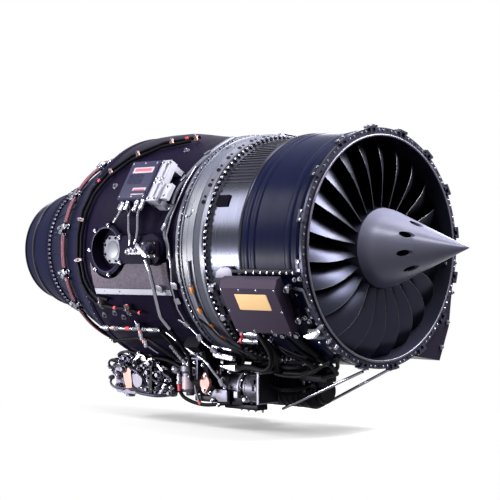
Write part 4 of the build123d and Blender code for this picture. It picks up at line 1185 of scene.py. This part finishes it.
class TURBOFAN_OT_cone_harness(bpy.types.Operator):
    """Dresses the exhaust cone with leads, joints and seams, and the nozzle with its rims"""

    bl_idname = "turbofan.cone_harness"
    bl_label = "Cone and nozzle"

    def execute(self, context):
        # Braided leads in pairs between steel joints, round the cone: where each pair starts and ends
        spans = [
            (-60, -22), (-8, 22), (33, 52), (58, 74), (82, 101), (107, 122), (131, 160), (172, 205),
            (216, 250), (262, 286),
        ]
        leads = []
        joints = []
        joint = [
            slab(Matrix(), 20, 26, 14, 2.5),
            lathe(moved(Matrix(), 26, -4, 0), [(0, 17), (6, 17), (8, 14), (8, 7), (11, 6), (11, -3)], 12),
            lathe(moved(Matrix(), -24, 5, 0), [(0, 15), (5, 15), (7, 12), (7, 5), (9, 4), (9, -3)], 12),
        ]
        block = merged(painted("stainless steel", *joint))
        for first, last in spans:
            steps = max(3, int((last - first) / 5))
            clocks = [first + (last - first) * i / steps for i in range(steps + 1)]
            for x, radius in ((-1437, 424), (-1456, 417)):
                leads.append(tube([spot(x, clock, radius) for clock in clocks], 5.5))
            joints.append(station(-1452, last + 3, 415, 16))
            joints.append(station(-1474, last + 5.5, 406, -24))
        made = copies(block, joints)
        links = []
        for _, last in spans:
            route = [
                (-1425, last + 2, 424), (-1432, last + 4, 428), (-1478, last + 5, 412),
                (-1500, last + 3, 398),
            ]
            links.append(tube([spot(*point) for point in route], 3.5))
        feet = copies(
            slab(Matrix(), 40, 12, 7, 2), [station(-1462, (a + b) / 2, 407, 90) for a, b in spans],
        )
        pieces = painted("lead sleeve", *leads) + made + painted("stainless steel", *links, *feet)
        finished("cone_leads", pieces, smooth=50)

        # Folded seams down the cone, and the rolled edges of the nozzle
        seams = []
        line = [(-1310, 456), (-1420, 411), (-1560, 353), (-1680, 303)]
        for i in range(24):
            seams.append(tube([spot(x, 15 * i + 4, radius) for x, radius in line], 2.2))
        finished("cone_seams", painted("heat-tinted alloy", *seams), smooth=60)
        rims = [
            hoop([(-1955, 229), (-1957, 236.5), (-1963, 236.5), (-1965, 231)]),
            hoop([(-1862, 262), (-1866, 265.5), (-1872, 264), (-1874, 256)]),
        ]
        finished("nozzle_rims", painted("turned aluminium", *rims), smooth=50)
        return {"FINISHED"}


class TURBOFAN_OT_fuel_gear(bpy.types.Operator):
    """Dresses the fuel control and the filter with their caps, levers and unions"""

    bl_idname = "turbofan.fuel_gear"
    bl_label = "Fuel control"

    def execute(self, context):
        # Fuel control: a stepped housing with its caps, links, nuts, small unions and pipes
        cap = lathe(
            Matrix(), [(0, 30), (7, 30), (9, 27), (9, 20), (13, 19), (13, 8), (16, 7), (16, -14)], 12,
        )
        spots = [
            (-1254, -473), (-1217, -482), (-1084, -524), (-1108, -599), (-1052, -607), (-1020, -531),
            (-966, -607), (-1156, -565), (-1072, -486), (-1133, -500), (-1188, -540), (-1246, -520),
            (-1036, -566), (-994, -580),
        ]
        places = []
        for i, (x, z) in enumerate(spots):
            places.append(aimed((x, -214 - 5 * (i % 3), z), NEAR) @ Matrix.Scale((1, 0.75, 1.25)[i % 3], 4))
        caps = copies(cap, places)
        body = [
            (-88, 74), (-6, 84), (58, 44), (116, 24), (132, -20), (158, -72), (44, -80), (-66, -46),
            (-104, 6),
        ]
        housing = plate(aimed((-1120, -150, -530), NEAR), body, 56, 6)
        steps = [(-60, 54), (0, 60), (34, 30), (88, 14), (96, -30), (36, -50), (-40, -26)]
        stepped = plate(aimed((-1120, -206, -528), NEAR), steps, 12, 4)
        arm = plate(
            aimed((-1160, -226, -470), NEAR),
            [(-44, -14), (-2, 24), (34, 14), (46, -8), (18, -12), (6, 4), (-16, -10)], 9, 2,
        )
        links = [
            slab(aimed((-1118, -222, -487), NEAR) @ Matrix.Rotation(0.5, 4, "Z"), 84, 12, 9, 2),
            slab(aimed((-1036, -226, -498), NEAR) @ Matrix.Rotation(-0.7, 4, "Z"), 62, 11, 9, 2),
            slab(aimed((-1010, -228, -592), NEAR) @ Matrix.Rotation(0.9, 4, "Z"), 70, 12, 10, 2),
            slab(aimed((-1268, -212, -470), NEAR) @ Matrix.Rotation(-0.3, 4, "Z"), 70, 22, 20, 4),
        ]
        nut = bolt(13, 9, washer=1.3, stud=4)
        nuts = [
            (-1290, -498), (-1276, -462), (-1230, -452), (-1196, -504), (-1166, -446), (-1100, -472),
            (-1062, -512), (-1046, -486), (-1128, -538), (-1096, -562), (-1068, -584), (-1024, -608),
            (-990, -556), (-1148, -596), (-1180, -572), (-1016, -508), (-962, -582), (-1230, -548),
        ]
        heads = copies(nut, [aimed((x, -226 + 4 * (i % 2), z), NEAR) for i, (x, z) in enumerate(nuts)])
        small = lathe(
            Matrix(), [(0, 22), (4, 22), (6, 19), (6, 12), (9, 11), (9, 3), (11, 2), (11, -16)], 10,
        )
        little = [
            (-1330, -486), (-1346, -520), (-1336, -560), (-1300, -600), (-1272, -484), (-1292, -540),
            (-1262, -500), (-1204, -462), (-1180, -488), (-1140, -470), (-1108, -506), (-1090, -556),
            (-1124, -578), (-1064, -604), (-1034, -590), (-1004, -532), (-1048, -524), (-1150, -516),
        ]
        places = []
        for i, (x, z) in enumerate(little):
            places.append(aimed((x, -222 - 9 * (i % 3), z), ((i % 3 - 1) * 0.5, -1, (i % 2) * 0.6)))
        knots = copies(small, places)
        pipes = [
            tube([
                (-1346, -220, -520), (-1350, -244, -508), (-1336, -250, -486), (-1306, -250, -478),
                (-1276, -244, -486),
            ], 5),
            tube([
                (-1336, -226, -560), (-1334, -250, -572), (-1310, -256, -596), (-1270, -250, -606),
                (-1230, -236, -600),
            ], 5),
            tube([(-1262, -236, -500), (-1240, -262, -496), (-1200, -266, -480), (-1176, -256, -470)], 4),
            tube([
                (-1300, -190, -470), (-1300, -236, -466), (-1262, -250, -446), (-1204, -246, -440),
                (-1170, -228, -452),
            ], 6),
            tube([
                (-1212, -232, -506), (-1190, -262, -512), (-1140, -266, -520), (-1112, -250, -548),
                (-1108, -232, -580),
            ], 6),
            tube([
                (-1064, -232, -540), (-1050, -258, -552), (-1010, -262, -560), (-984, -240, -566),
                (-976, -200, -566),
            ], 5),
            tube([
                (-1180, -238, -600), (-1150, -258, -612), (-1080, -258, -618), (-1010, -244, -622),
                (-960, -210, -612),
            ], 7),
        ]
        tag = plate(aimed((-1226, -238, -556), NEAR), [(-36, 42), (20, 44), (32, -40), (-8, -46)], 5, 1)
        window = slab(aimed((-1160, -219, -508), NEAR), 44, 34, 6, 1.5)
        pieces = painted("cast alloy", housing, stepped, *caps, *knots[::2])
        pieces += painted("stainless steel", arm, *links[:3], *heads, *knots[1::2])
        pieces += painted("dark anodising", links[3], *pipes) + painted("clamp cushion", tag)
        pieces += painted("black enamel", window)
        finished("fuel_control_fittings", pieces)

        # Filter: its ribs, label, head, screws and union, with the ball, the tube and the hose beside it
        down = aimed((-868, -205, -482), DOWN)
        label = lathe(down, [(34.8, 48), (36.4, 49), (36.4, 99), (34.8, 100)], 32)
        ribs = [moved(turned(down, 36 * i), 39, 0, 6) for i in range(10)]
        grips = copies(slab(Matrix(), 6, 8, 20, 1), ribs)
        head = slab(aimed((-842, -190, -466), NEAR), 90, 36, 40, 5)
        ball = lathe(
            aimed((-934, -220, -503), NEAR),
            [(0, 26), (9, 24), (17, 18), (22, 9), (23, 0), (20, -10), (10, -20)], 24,
        )
        union = lathe(
            aimed((-898, -240, -520), DOWN),
            [(0, 0), (8, 0), (8, 8), (11, 9), (11, 22), (8, 23), (8, 30), (12, 31), (12, 42), (0, 42)], 14,
        )
        bands = [
            tube([(-897, -240, -562), (-894, -240, -590)], 9.5),
            tube([(-782, -236, -628), (-772, -236, -640)], 7.5),
            tube([(-1062, -389, -332), (-1036, -389, -332)], 9),
        ]
        hose = tube([
            (-894, -240, -588), (-886, -240, -606), (-850, -238, -626), (-777, -230, -642),
            (-690, -225, -636), (-612, -220, -622),
        ], 8)
        strip = tube([
            (-818, -232, -488), (-812, -236, -520), (-804, -238, -560), (-796, -238, -596),
            (-782, -236, -628),
        ], 5)
        screws = copies(
            bolt(10, 6), [aimed((x, -232, z), NEAR) for z in (-456, -476) for x in (-878, -806)],
        )
        pieces = painted("pale plate", label) + painted("cast alloy", *grips, head)
        pieces += painted("red band", *bands)
        pieces += painted("stainless steel", ball, union, strip, *screws) + painted("hose rubber", hose)
        finished("filter_fittings", pieces)
        return {"FINISHED"}


class TURBOFAN_OT_gear_plumbing(bpy.types.Operator):
    """Runs the tubes round the gearbox and below the duct, and dresses the gearbox and the starter"""

    bl_idname = "turbofan.gear_plumbing"
    bl_label = "Gearbox plumbing"

    def execute(self, context):
        # Bright drawn tubes
        tubes = [
            ([
                (-945, -352, -296), (-919, -330, -318), (-842, -330, -363), (-723, -330, -419),
                (-643, -330, -450), (-614, -326, -484), (-557, -300, -552),
            ], 6),
            ([
                (-730, -400, -286), (-698, -380, -305), (-633, -380, -348), (-619, -380, -367),
                (-547, -376, -404), (-505, -350, -432),
            ], 4),
            ([
                (-990, -400, -300), (-971, -400, -323), (-956, -396, -364), (-941, -380, -400),
                (-930, -330, -430),
            ], 4.5),
        ]
        bright = [tube(points, radius) for points, radius in tubes]
        # Dark tubes and hoses
        tubes = [
            ([
                (-950, -345, -322), (-934, -330, -330), (-858, -330, -379), (-827, -322, -408),
                (-800, -290, -450),
            ], 7),
            ([
                (-590, -416, -280), (-561, -400, -300), (-491, -400, -352), (-395, -400, -387),
                (-300, -390, -421),
            ], 5),
            ([
                (-1150, -380, -390), (-1114, -380, -381), (-995, -380, -371), (-940, -380, -369),
                (-856, -376, -407), (-800, -340, -450),
            ], 8),
            ([
                (-290, -400, -310), (-273, -400, -335), (-208, -390, -417), (-254, -380, -476),
                (-374, -366, -452), (-460, -320, -470),
            ], 10),
            ([(-260, -330, -480), (-204, -350, -485), (-76, -350, -483), (24, -340, -420)], 5),
            ([(-188, -380, -370), (-111, -380, -399), (-61, -370, -406)], 4),
            ([
                (-1240, -150, -500), (-1160, -170, -478), (-1040, -180, -486), (-900, -170, -492),
                (-780, -150, -500),
            ], 12),
            ([(-1220, -120, -498), (-1100, -110, -506), (-960, -130, -500), (-820, -110, -506)], 14),
            ([
                (-1180, -210, -470), (-1060, -220, -462), (-960, -230, -470), (-860, -240, -500),
                (-800, -220, -540),
            ], 9),
            ([(-1260, -60, -512), (-1130, -40, -508), (-960, -50, -510), (-800, -60, -506)], 14),
        ]
        dark = [tube(points, radius) for points, radius in tubes]
        pieces = painted("stainless steel", *bright) + painted("hose rubber", *dark)
        finished("gearbox_tubes", pieces, smooth=60)

        # Unions along the tubes
        union = lathe(
            Matrix(),
            [(0, 15), (6, 15), (7, 13), (10, 12), (10, -2), (12, -3), (12, -13), (8, -15), (0, -15)], 10,
        )
        at = [
            ((-912, -262, -410), (1, 0, -0.8)),
            ((-889, -262, -429), (1, 0, -0.8)),
            ((-866, -262, -449), (1, 0, -0.8)),
            ((-836, -262, -468), (1, 0, -0.8)),
            ((-971, -400, -323), (0.3, 0, -1)),
            ((-956, -396, -364), (0.3, 0, -1)),
            ((-941, -386, -392), (0.3, 0, -1)),
            ((-698, -380, -306), (1, 0, -0.7)),
            ((-625, -380, -356), (0.6, 0, -1)),
            ((-919, -332, -318), (1, 0, -0.6)),
            ((-575, -308, -534), (0.5, 0, -1)),
            ((-1176, -389, -332), FORWARD),
            ((-1120, -389, -332), FORWARD),
            ((-1000, -389, -332), FORWARD),
            ((-940, -389, -332), FORWARD),
            ((-870, -389, -332), FORWARD),
            ((-545, -376, -404), (1, 0, -0.5)),
            ((-510, -236, -602), NEAR),
            ((-660, -244, -500), NEAR),
        ]
        unions = copies(union, [aimed(*place) for place in at])
        tips = copies(
            lathe(Matrix(), [(0, 9), (7, 9), (8, 7), (8, -7), (7, -9), (0, -9)], 12),
            [
                aimed((-964, -398, -344), (0.3, 0, -1)), aimed((-947, -392, -380), (0.3, 0, -1)),
                aimed((-1146, -389, -332), FORWARD),
            ],
        )
        pieces = painted("stainless steel", *unions) + painted("clamp cushion", *tips)
        finished("gearbox_unions", pieces)

        # Brackets, the oval cover and the lumps on the gearbox's side
        oval = plate(aimed((-692, -276, -543), NEAR), [
            (-8, 42), (6, 42), (22, 16), (28, 2), (24, -14), (4, -42), (-10, -42), (-26, -12),
            (-28, 4), (-22, 18),
        ], 15, 3)
        ends = [(-690, -515), (-695, -571)]
        oval_bolts = copies(bolt(12, 6, washer=1.5), [aimed((x, -291, z), NEAR) for x, z in ends])
        bar_low = plate(aimed((-660, -226, -512), NEAR), [(-24, 36), (-8, 38), (22, -34), (8, -38)], 9, 2)
        foot = plate(
            aimed((-650, -226, -594), NEAR),
            [(-54, -10), (-34, 22), (-4, 26), (40, 24), (42, -24), (-8, -26), (-30, -8)], 20, 4,
        )
        loop = [
            slab(aimed((-528, -338, -393), NEAR) @ Matrix.Rotation(-0.1, 4, "Z"), 108, 8, 18, 2),
            slab(aimed((-512, -338, -426), NEAR) @ Matrix.Rotation(-0.1, 4, "Z"), 96, 20, 22, 3),
            slab(aimed((-574, -338, -408), NEAR) @ Matrix.Rotation(0.3, 4, "Z"), 10, 40, 18, 2),
        ]
        shelf = plate(aimed((-558, -260, -474), NEAR), [(-44, 6), (42, 12), (42, -14), (-36, -2)], 34, 2)
        lever = plate(
            aimed((12, -420, -320), NEAR), [(-36, -4), (36, 22), (44, 12), (18, -12), (-10, -14)], 12, 3,
        )
        # Plain black lumps, painted shade that fills the dark round the gearbox: where each one sits, its
        # width, height and depth, and its edge
        rows = [
            (-610, -190, -480, 74, 40, 34, 5),
            (-700, -220, -470, 60, 52, 26, 5),
            (-760, -190, -616, 120, 24, 34, 6),
            (-596, -120, -640, 190, 22, 60, 6),
            (-430, -20, -498, 420, 60, 60, 8),
            (-980, -90, -500, 300, 34, 60, 8),
            (-1180, -60, -494, 150, 50, 90, 10),
            (-900, -140, -480, 190, 60, 40, 8),
            (-740, -170, -560, 130, 120, 30, 8),
            (-600, -180, -600, 110, 60, 40, 8),
        ]
        lumps = [slab(aimed(row[:3], NEAR), *row[3:]) for row in rows]
        rim_spots = [(-676, -644), (-640, -650), (-600, -652), (-560, -652), (-520, -652)]
        rim = copies(bolt(11, 9, stud=4), [aimed((x, -130, z), DOWN) for x, z in rim_spots])
        side_nuts = [
            (-690, -520), (-706, -498), (-640, -488), (-600, -496), (-712, -590), (-700, -620),
            (-664, -636), (-626, -560), (-634, -524),
        ]
        heads = copies(bolt(12, 8, stud=5), [aimed((x, -238, z), NEAR) for x, z in side_nuts])
        # The saddle's side, with studs, webs and a small valve
        # It leans inward below z -410, and more below z -545
        side = [
            (-778, -424), (-736, -424), (-690, -424), (-778, -470), (-778, -520), (-736, -462),
            (-690, -470), (-740, -590), (-700, -604),
        ]
        places = []
        for x, z in side:
            y = -314 + 0.24 * max(0, -410 - z) + 0.9 * max(0, -545 - z)
            places.append(aimed((x, y, z), NEAR))
        heads += copies(bolt(11, 8, stud=4), places)
        webs = [
            slab(aimed((-757, -290, -480), NEAR), 8, 120, 20, 2),
            slab(aimed((-714, -290, -476), NEAR), 8, 110, 22, 2),
            slab(aimed((-735, -292, -446), NEAR), 100, 8, 20, 2),
        ]
        valve = lathe(
            aimed((-740, -288, -498), NEAR),
            [(0, 34), (9, 34), (12, 30), (12, 20), (17, 18), (17, 6), (20, 4), (20, -6)], 20,
        )
        pieces = painted("stainless steel", *oval_bolts, *heads, *rim, *loop, shelf, lever)
        pieces += painted("clamp cushion", oval)
        pieces += painted("cast alloy", bar_low, foot) + painted("black enamel", *lumps)
        pieces += painted("dark anodising", *webs) + painted("cast alloy", valve)
        finished("gearbox_brackets", pieces)

        # Starter: a drum on its end bell, a clamp ring and a square plate in front
        axle = aimed((-660, -160, -560), FORWARD)
        drum = lathe(
            axle, [(0, 196), (56, 196), (61, 192), (61, 128), (63, 126), (63, 118), (58, 114), (58, 108)],
            40,
        )
        band = lathe(axle, [(66, 88), (69, 89), (69, 97), (66, 98)], 40)
        latch = slab(aimed((-566, -228, -586), NEAR), 20, 26, 12, 2)
        face = slab(aimed((-462, -166, -558), FORWARD), 118, 124, 10, 2)
        mask = slab(aimed((-452, -166, -558), FORWARD), 108, 114, 3, 1)
        slot = slab(aimed((-486, -214, -545), NEAR), 12, 46, 9, 2)
        turns = [moved(turned(axle, 24 * i), 61, 0, 128) for i in range(15)]
        ribs = copies(slab(Matrix(), 5, 7, 60, 1.5), turns)
        turns = [moved(turned(axle, 30 * i), 64, 0, 104) for i in range(12)]
        clips = copies(bolt(11, 8, stud=3), turns)
        pieces = painted("cast alloy", drum, *ribs) + painted("beaded aluminium", face, band, latch)
        pieces += painted("black enamel", mask, slot) + painted("stainless steel", *clips)
        finished("starter_fittings", pieces)
        return {"FINISHED"}


class TURBOFAN_OT_frame_fittings(bpy.types.Operator):
    """Adds the hoist bracket, the sleeved tube behind the ring and the tape on the harness"""

    bl_idname = "turbofan.frame_fittings"
    bl_label = "Frame fittings"

    def execute(self, context):
        # Hoist bracket on top of the bolted flange
        yoke = [
            slab(station(-531, -5, 458), 22, 110, 5, 1),
            slab(station(-531, -11.5, 460), 18, 16, 13, 2),
            slab(station(-531, 1.5, 460), 18, 16, 13, 2),
            slab(station(-531, -5, 469), 12, 106, 4, 1),
        ]
        eye = slab(station(-531, -5, 460), 10, 56, 8, 1)
        pieces = painted("beaded aluminium", *yoke) + painted("black enamel", eye)
        finished("hoist_bracket", pieces)

        # The sleeved tube behind the ring, in its clips
        route = [
            (-655, 20), (-655, 27), (-664, 38), (-690, 50), (-717, 62), (-714, 68), (-704, 72),
            (-726, 76.5), (-727, 84.7), (-703, 87.4), (-698, 95),
        ]
        sleeved = tube([spot(x, clock, 481) for x, clock in route], 8)
        spots = [(-664, 38), (-700, 55), (-712, 70), (-726, 80)]
        clips = copies(slab(Matrix(), 30, 14, 6, 1.5), [station(x, clock, 486, 60) for x, clock in spots])
        pieces = painted("grey enamel", sleeved) + painted("stainless steel", *clips)
        finished("sleeved_tube", pieces, smooth=60)

        # Orange tape where the harness crosses the frame
        tape = lathe(Matrix(), [(6.4, -13), (7.4, -12), (7.4, 12), (6.4, 13)], 14)
        rows = [(-598, 110, 477, 95), (-594, 121, 477, 110), (-580, 130, 477, 120), (-560, 138, 477, 125)]
        tapes = copies(tape, [turned(station(*row), 90, "Y") for row in rows])
        finished("harness_tape", painted("orange tape", *tapes), smooth=60)
        return {"FINISHED"}


class TURBOFAN_OT_far_side(bpy.types.Operator):
    """Finishes what the photograph doesn't show: the oil tank, its lines and the mounts' bolts"""

    bl_idname = "turbofan.far_side"
    bl_label = "Far side"

    def execute(self, context):
        # Oil tank: straps, filler, sight glass and lines
        straps = []
        for x in (-205, -75):
            route = [(511, 66), (500, -30), (482, -150), (470, -230), (456, -315), (430, -372), (398, -448)]
            for (y, z), (y2, z2) in zip(route, route[1:]):
                middle = (x, (y + y2) / 2 - 1, (z + z2) / 2)
                run = math.hypot(y2 - y, z2 - z)
                straps.append(slab(aimed(middle, (0, z - z2, y2 - y)), 24, run + 4, 4, 1))
        neck = lathe(
            aimed((-140, 470, 72), UP),
            [(0, 40), (20, 40), (26, 36), (26, 20), (22, 18), (22, 8), (30, 6), (30, 0)], 28,
        )
        glass = lathe(
            aimed((-140, 462, -262), (0, 0.97, -0.25)),
            [(0, 8), (12, 8), (14, 11), (20, 11), (22, 8), (22, -10)], 28,
        )
        spots = [(480, 40), (486, -60), (470, -180), (440, -300), (400, -400), (430, -60)]
        bosses = copies(bolt(14, 9, stud=5), [aimed((-27, y, z), FORWARD) for y, z in spots])
        lines = [
            tube([
                (-250, 440, -340), (-330, 452, -330), (-430, 448, -300), (-540, 446, -290),
                (-640, 440, -310), (-700, 420, -380), (-720, 330, -470),
            ], 9),
            tube([
                (-250, 410, -400), (-320, 420, -410), (-420, 400, -420), (-520, 380, -430),
                (-640, 350, -450), (-700, 280, -500),
            ], 9),
            tube([
                (-160, 470, 80), (-240, 490, 96), (-340, 492, 60), (-460, 486, 20), (-600, 500, -40),
                (-760, 500, -90), (-900, 494, -160),
            ], 6),
        ]
        pieces = painted("stainless steel", neck, *bosses, *lines) + painted("dark anodising", *straps)
        pieces += painted("pale plate", glass)
        finished("oil_tank_fittings", pieces)

        # Three hoses in their clamps, a ribbed box and a valve on the far side of the duct
        routes = [
            ([
                (-690, 310, 474), (-760, 296, 484), (-900, 292, 494), (-1040, 288, 507),
                (-1180, 284, 505), (-1270, 280, 492),
            ], 8),
            ([
                (-690, 250, 474), (-780, 252, 482), (-920, 258, 496), (-1060, 262, 508),
                (-1190, 262, 504), (-1280, 262, 488),
            ], 10),
            ([
                (-690, 232, 476), (-800, 234, 486), (-960, 236, 502), (-1120, 236, 508),
                (-1240, 236, 500), (-1320, 236, 466),
            ], 7),
        ]
        runs = [tube([spot(*point) for point in points], radius) for points, radius in routes]
        clamp = slab(Matrix(), 16, 40, 22, 3)
        rows = [
            (-780, 295, 470), (-980, 290, 490), (-1160, 285, 492), (-800, 252.6, 472), (-1000, 260, 492),
            (-1180, 262, 492), (-900, 235.5, 485), (-1140, 236, 493),
        ]
        clamps = [station(*row, 90) for row in rows]
        box = slab(station(-960, 315, 486), 150, 110, 50, 6)
        ribs = copies(
            slab(Matrix(), 4, 92, 5, 1), [station(-960 + x, 315, 536) for x in range(-60, 61, 15)],
        )
        valve = lathe(
            station(-860, 272, 480),
            [(0, 66), (20, 66), (28, 58), (28, 40), (44, 38), (44, 8), (50, 6), (50, -10)], 32,
        )
        turns = [moved(turned(station(-860, 272, 486), 45 * i), 46, 0, 2) for i in range(8)]
        rim_bolts = copies(bolt(11, 7, stud=3), turns)
        pieces = painted("hose rubber", *runs)
        pieces += painted("stainless steel", *copies(clamp, clamps), *rim_bolts)
        pieces += painted("slate enamel", box, *ribs) + painted("cast alloy", valve)
        finished("far_lines", pieces)

        # Bolts of both mounts
        places = [moved(station(-600, 270, 490), x, y, 0) for x in (-14, 14) for y in (-30, 30)]
        heads = copies(bolt(14, 9, stud=5), places)
        pin = lathe(
            aimed((-1592, 396, -20), UP),
            [(0, 0), (9, 0), (9, 4), (16, 6), (16, 40), (9, 42), (9, 46), (0, 46)], 20,
        )
        finished("mount_bolts", painted("stainless steel", *heads, pin))
        return {"FINISHED"}


class TURBOFAN_OT_fan_edges(bpy.types.Operator):
    """Puts the thin guards on the fan blades' leading edges and the ring on the inlet's lip"""

    bl_idname = "turbofan.fan_edges"
    bl_label = "Fan edges"

    def execute(self, context):
        blades = 22
        first = 12.2
        # The leading edge's radius, x and lean at five sections, as the blades are drawn
        drawn = [(146, -4, 18), (218, 3, 25), (287, 4, 30), (356, -13, 28), (432, -62, 12)]
        # A smooth line: the polynomial that passes through all five
        line = []
        for step in range(15):
            radius = 160 + step * 19.2
            x = 0
            lean = 0
            for i, (own, own_x, own_lean) in enumerate(drawn):
                share = 1
                for j, (other, _, _) in enumerate(drawn):
                    if i != j:
                        share *= (radius - other) / (own - other)
                x += share * own_x
                lean += share * own_lean
            line.append((x, -lean, radius))
        guard = tube(line, context.scene.turbofan_sizes.edge_guard / MM)
        guards = copies(guard, ring_places(blades, 0, 0, first))
        finished("fan_edge_guards", painted("edge guard", *guards), body=FAN, smooth=60)
        lip = hoop([(6, 431.8), (8.6, 432.6), (9.4, 434.5), (9, 438), (7.4, 440.4), (5, 440.6)])
        finished("inlet_lip", painted("cast alloy", lip), smooth=60)
        return {"FINISHED"}


class TURBOFAN_OT_case_fins(bpy.types.Operator):
    """Adds the fins over the top of the bare case and covers its blank plate"""

    bl_idname = "turbofan.case_fins"
    bl_label = "Case fins"

    def execute(self, context):
        fin = slab(Matrix(), 150, 5, 5, 1, lift=-1.5)
        fins = copies(fin, [station(-425, -82 + 2.2 * i, 442) for i in range(63)])
        finished("case_fins", painted("dark anodising", *fins))
        cover = plate(station(-467, 65.5, 445), round_corners(67, 49, 3), 3.2, 0.6, lift=-1.5)
        finished("plate_cover", painted("flat black", cover))
        return {"FINISHED"}


class TURBOFAN_OT_cooler(bpy.types.Operator):
    """Adds the finned cooler below the fan case, with its straps and hoses"""

    bl_idname = "turbofan.cooler"
    bl_label = "Cooler"

    def execute(self, context):
        box = slab(aimed((-400, 40, -520), NEAR), 190, 100, 100, 10)
        fins = copies(
            slab(Matrix(), 4, 88, 8, 1), [aimed((-484 + 14 * i, -59, -520), NEAR) for i in range(13)],
        )
        header = slab(aimed((-296, 30, -512), NEAR), 22, 80, 80, 8)
        straps = copies(slab(Matrix(), 18, 116, 4, 1), [aimed((x, -68, -516), NEAR) for x in (-450, -350)])
        ports = copies(
            lathe(Matrix(), [(0, 26), (10, 26), (12, 24), (12, 14), (16, 13), (16, -4)], 16),
            [aimed((-316, -48, -540), NEAR), aimed((-316, -48, -500), NEAR)],
        )
        lines = [
            tube([
                (-316, -70, -540), (-318, -100, -548), (-350, -130, -560), (-420, -150, -560),
                (-450, -170, -540),
            ], 9),
            tube([
                (-316, -70, -500), (-300, -100, -486), (-240, -150, -468), (-180, -190, -452),
                (-120, -230, -432),
            ], 8),
        ]
        # The box, its fins and its header are near black: painted shade that fills the dark below the fan
        # case
        pieces = painted("dark casting", box, *fins, header) + painted("dark anodising", *straps, *ports)
        pieces += painted("hose rubber", *lines)
        finished("cooler", pieces)
        return {"FINISHED"}


PIECES = [
    TURBOFAN_OT_camera,
    TURBOFAN_OT_stage,
    TURBOFAN_OT_finishes,
    TURBOFAN_OT_wrap,
    TURBOFAN_OT_flange_bolts,
    TURBOFAN_OT_inlet_forks,
    TURBOFAN_OT_frame_ring,
    TURBOFAN_OT_control_box,
    TURBOFAN_OT_case_plates,
    TURBOFAN_OT_case_plumbing,
    TURBOFAN_OT_spinner_pockets,
    TURBOFAN_OT_duct_clamps,
    TURBOFAN_OT_port,
    TURBOFAN_OT_exciter,
    TURBOFAN_OT_cone_harness,
    TURBOFAN_OT_fuel_gear,
    TURBOFAN_OT_gear_plumbing,
    TURBOFAN_OT_frame_fittings,
    TURBOFAN_OT_far_side,
    TURBOFAN_OT_fan_edges,
    TURBOFAN_OT_case_fins,
    TURBOFAN_OT_cooler,
]


class TURBOFAN_PT_panel(bpy.types.Panel):
    """Lists the steps in the 3D view's sidebar"""

    bl_idname = "TURBOFAN_PT_panel"
    bl_label = "Turbofan"
    bl_space_type = "VIEW_3D"
    bl_region_type = "UI"
    bl_category = "Turbofan"

    def draw(self, context):
        for step in PIECES:
            self.layout.operator(step.bl_idname)


def register():
    for group in (TurbofanColours, TurbofanSizes, TURBOFAN_PT_panel, *PIECES):
        bpy.utils.register_class(group)
    bpy.types.Scene.turbofan_colours = bpy.props.PointerProperty(type=TurbofanColours)
    bpy.types.Scene.turbofan_sizes = bpy.props.PointerProperty(type=TurbofanSizes)


def unregister():
    del bpy.types.Scene.turbofan_sizes
    del bpy.types.Scene.turbofan_colours
    for group in (*reversed(PIECES), TURBOFAN_PT_panel, TurbofanSizes, TurbofanColours):
        bpy.utils.unregister_class(group)


def main():
    """Registers the add-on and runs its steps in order."""
    register()
    for step in PIECES:
        group, name = step.bl_idname.split(".")
        getattr(getattr(bpy.ops, group), name)()


if __name__ == "__main__":
    main()
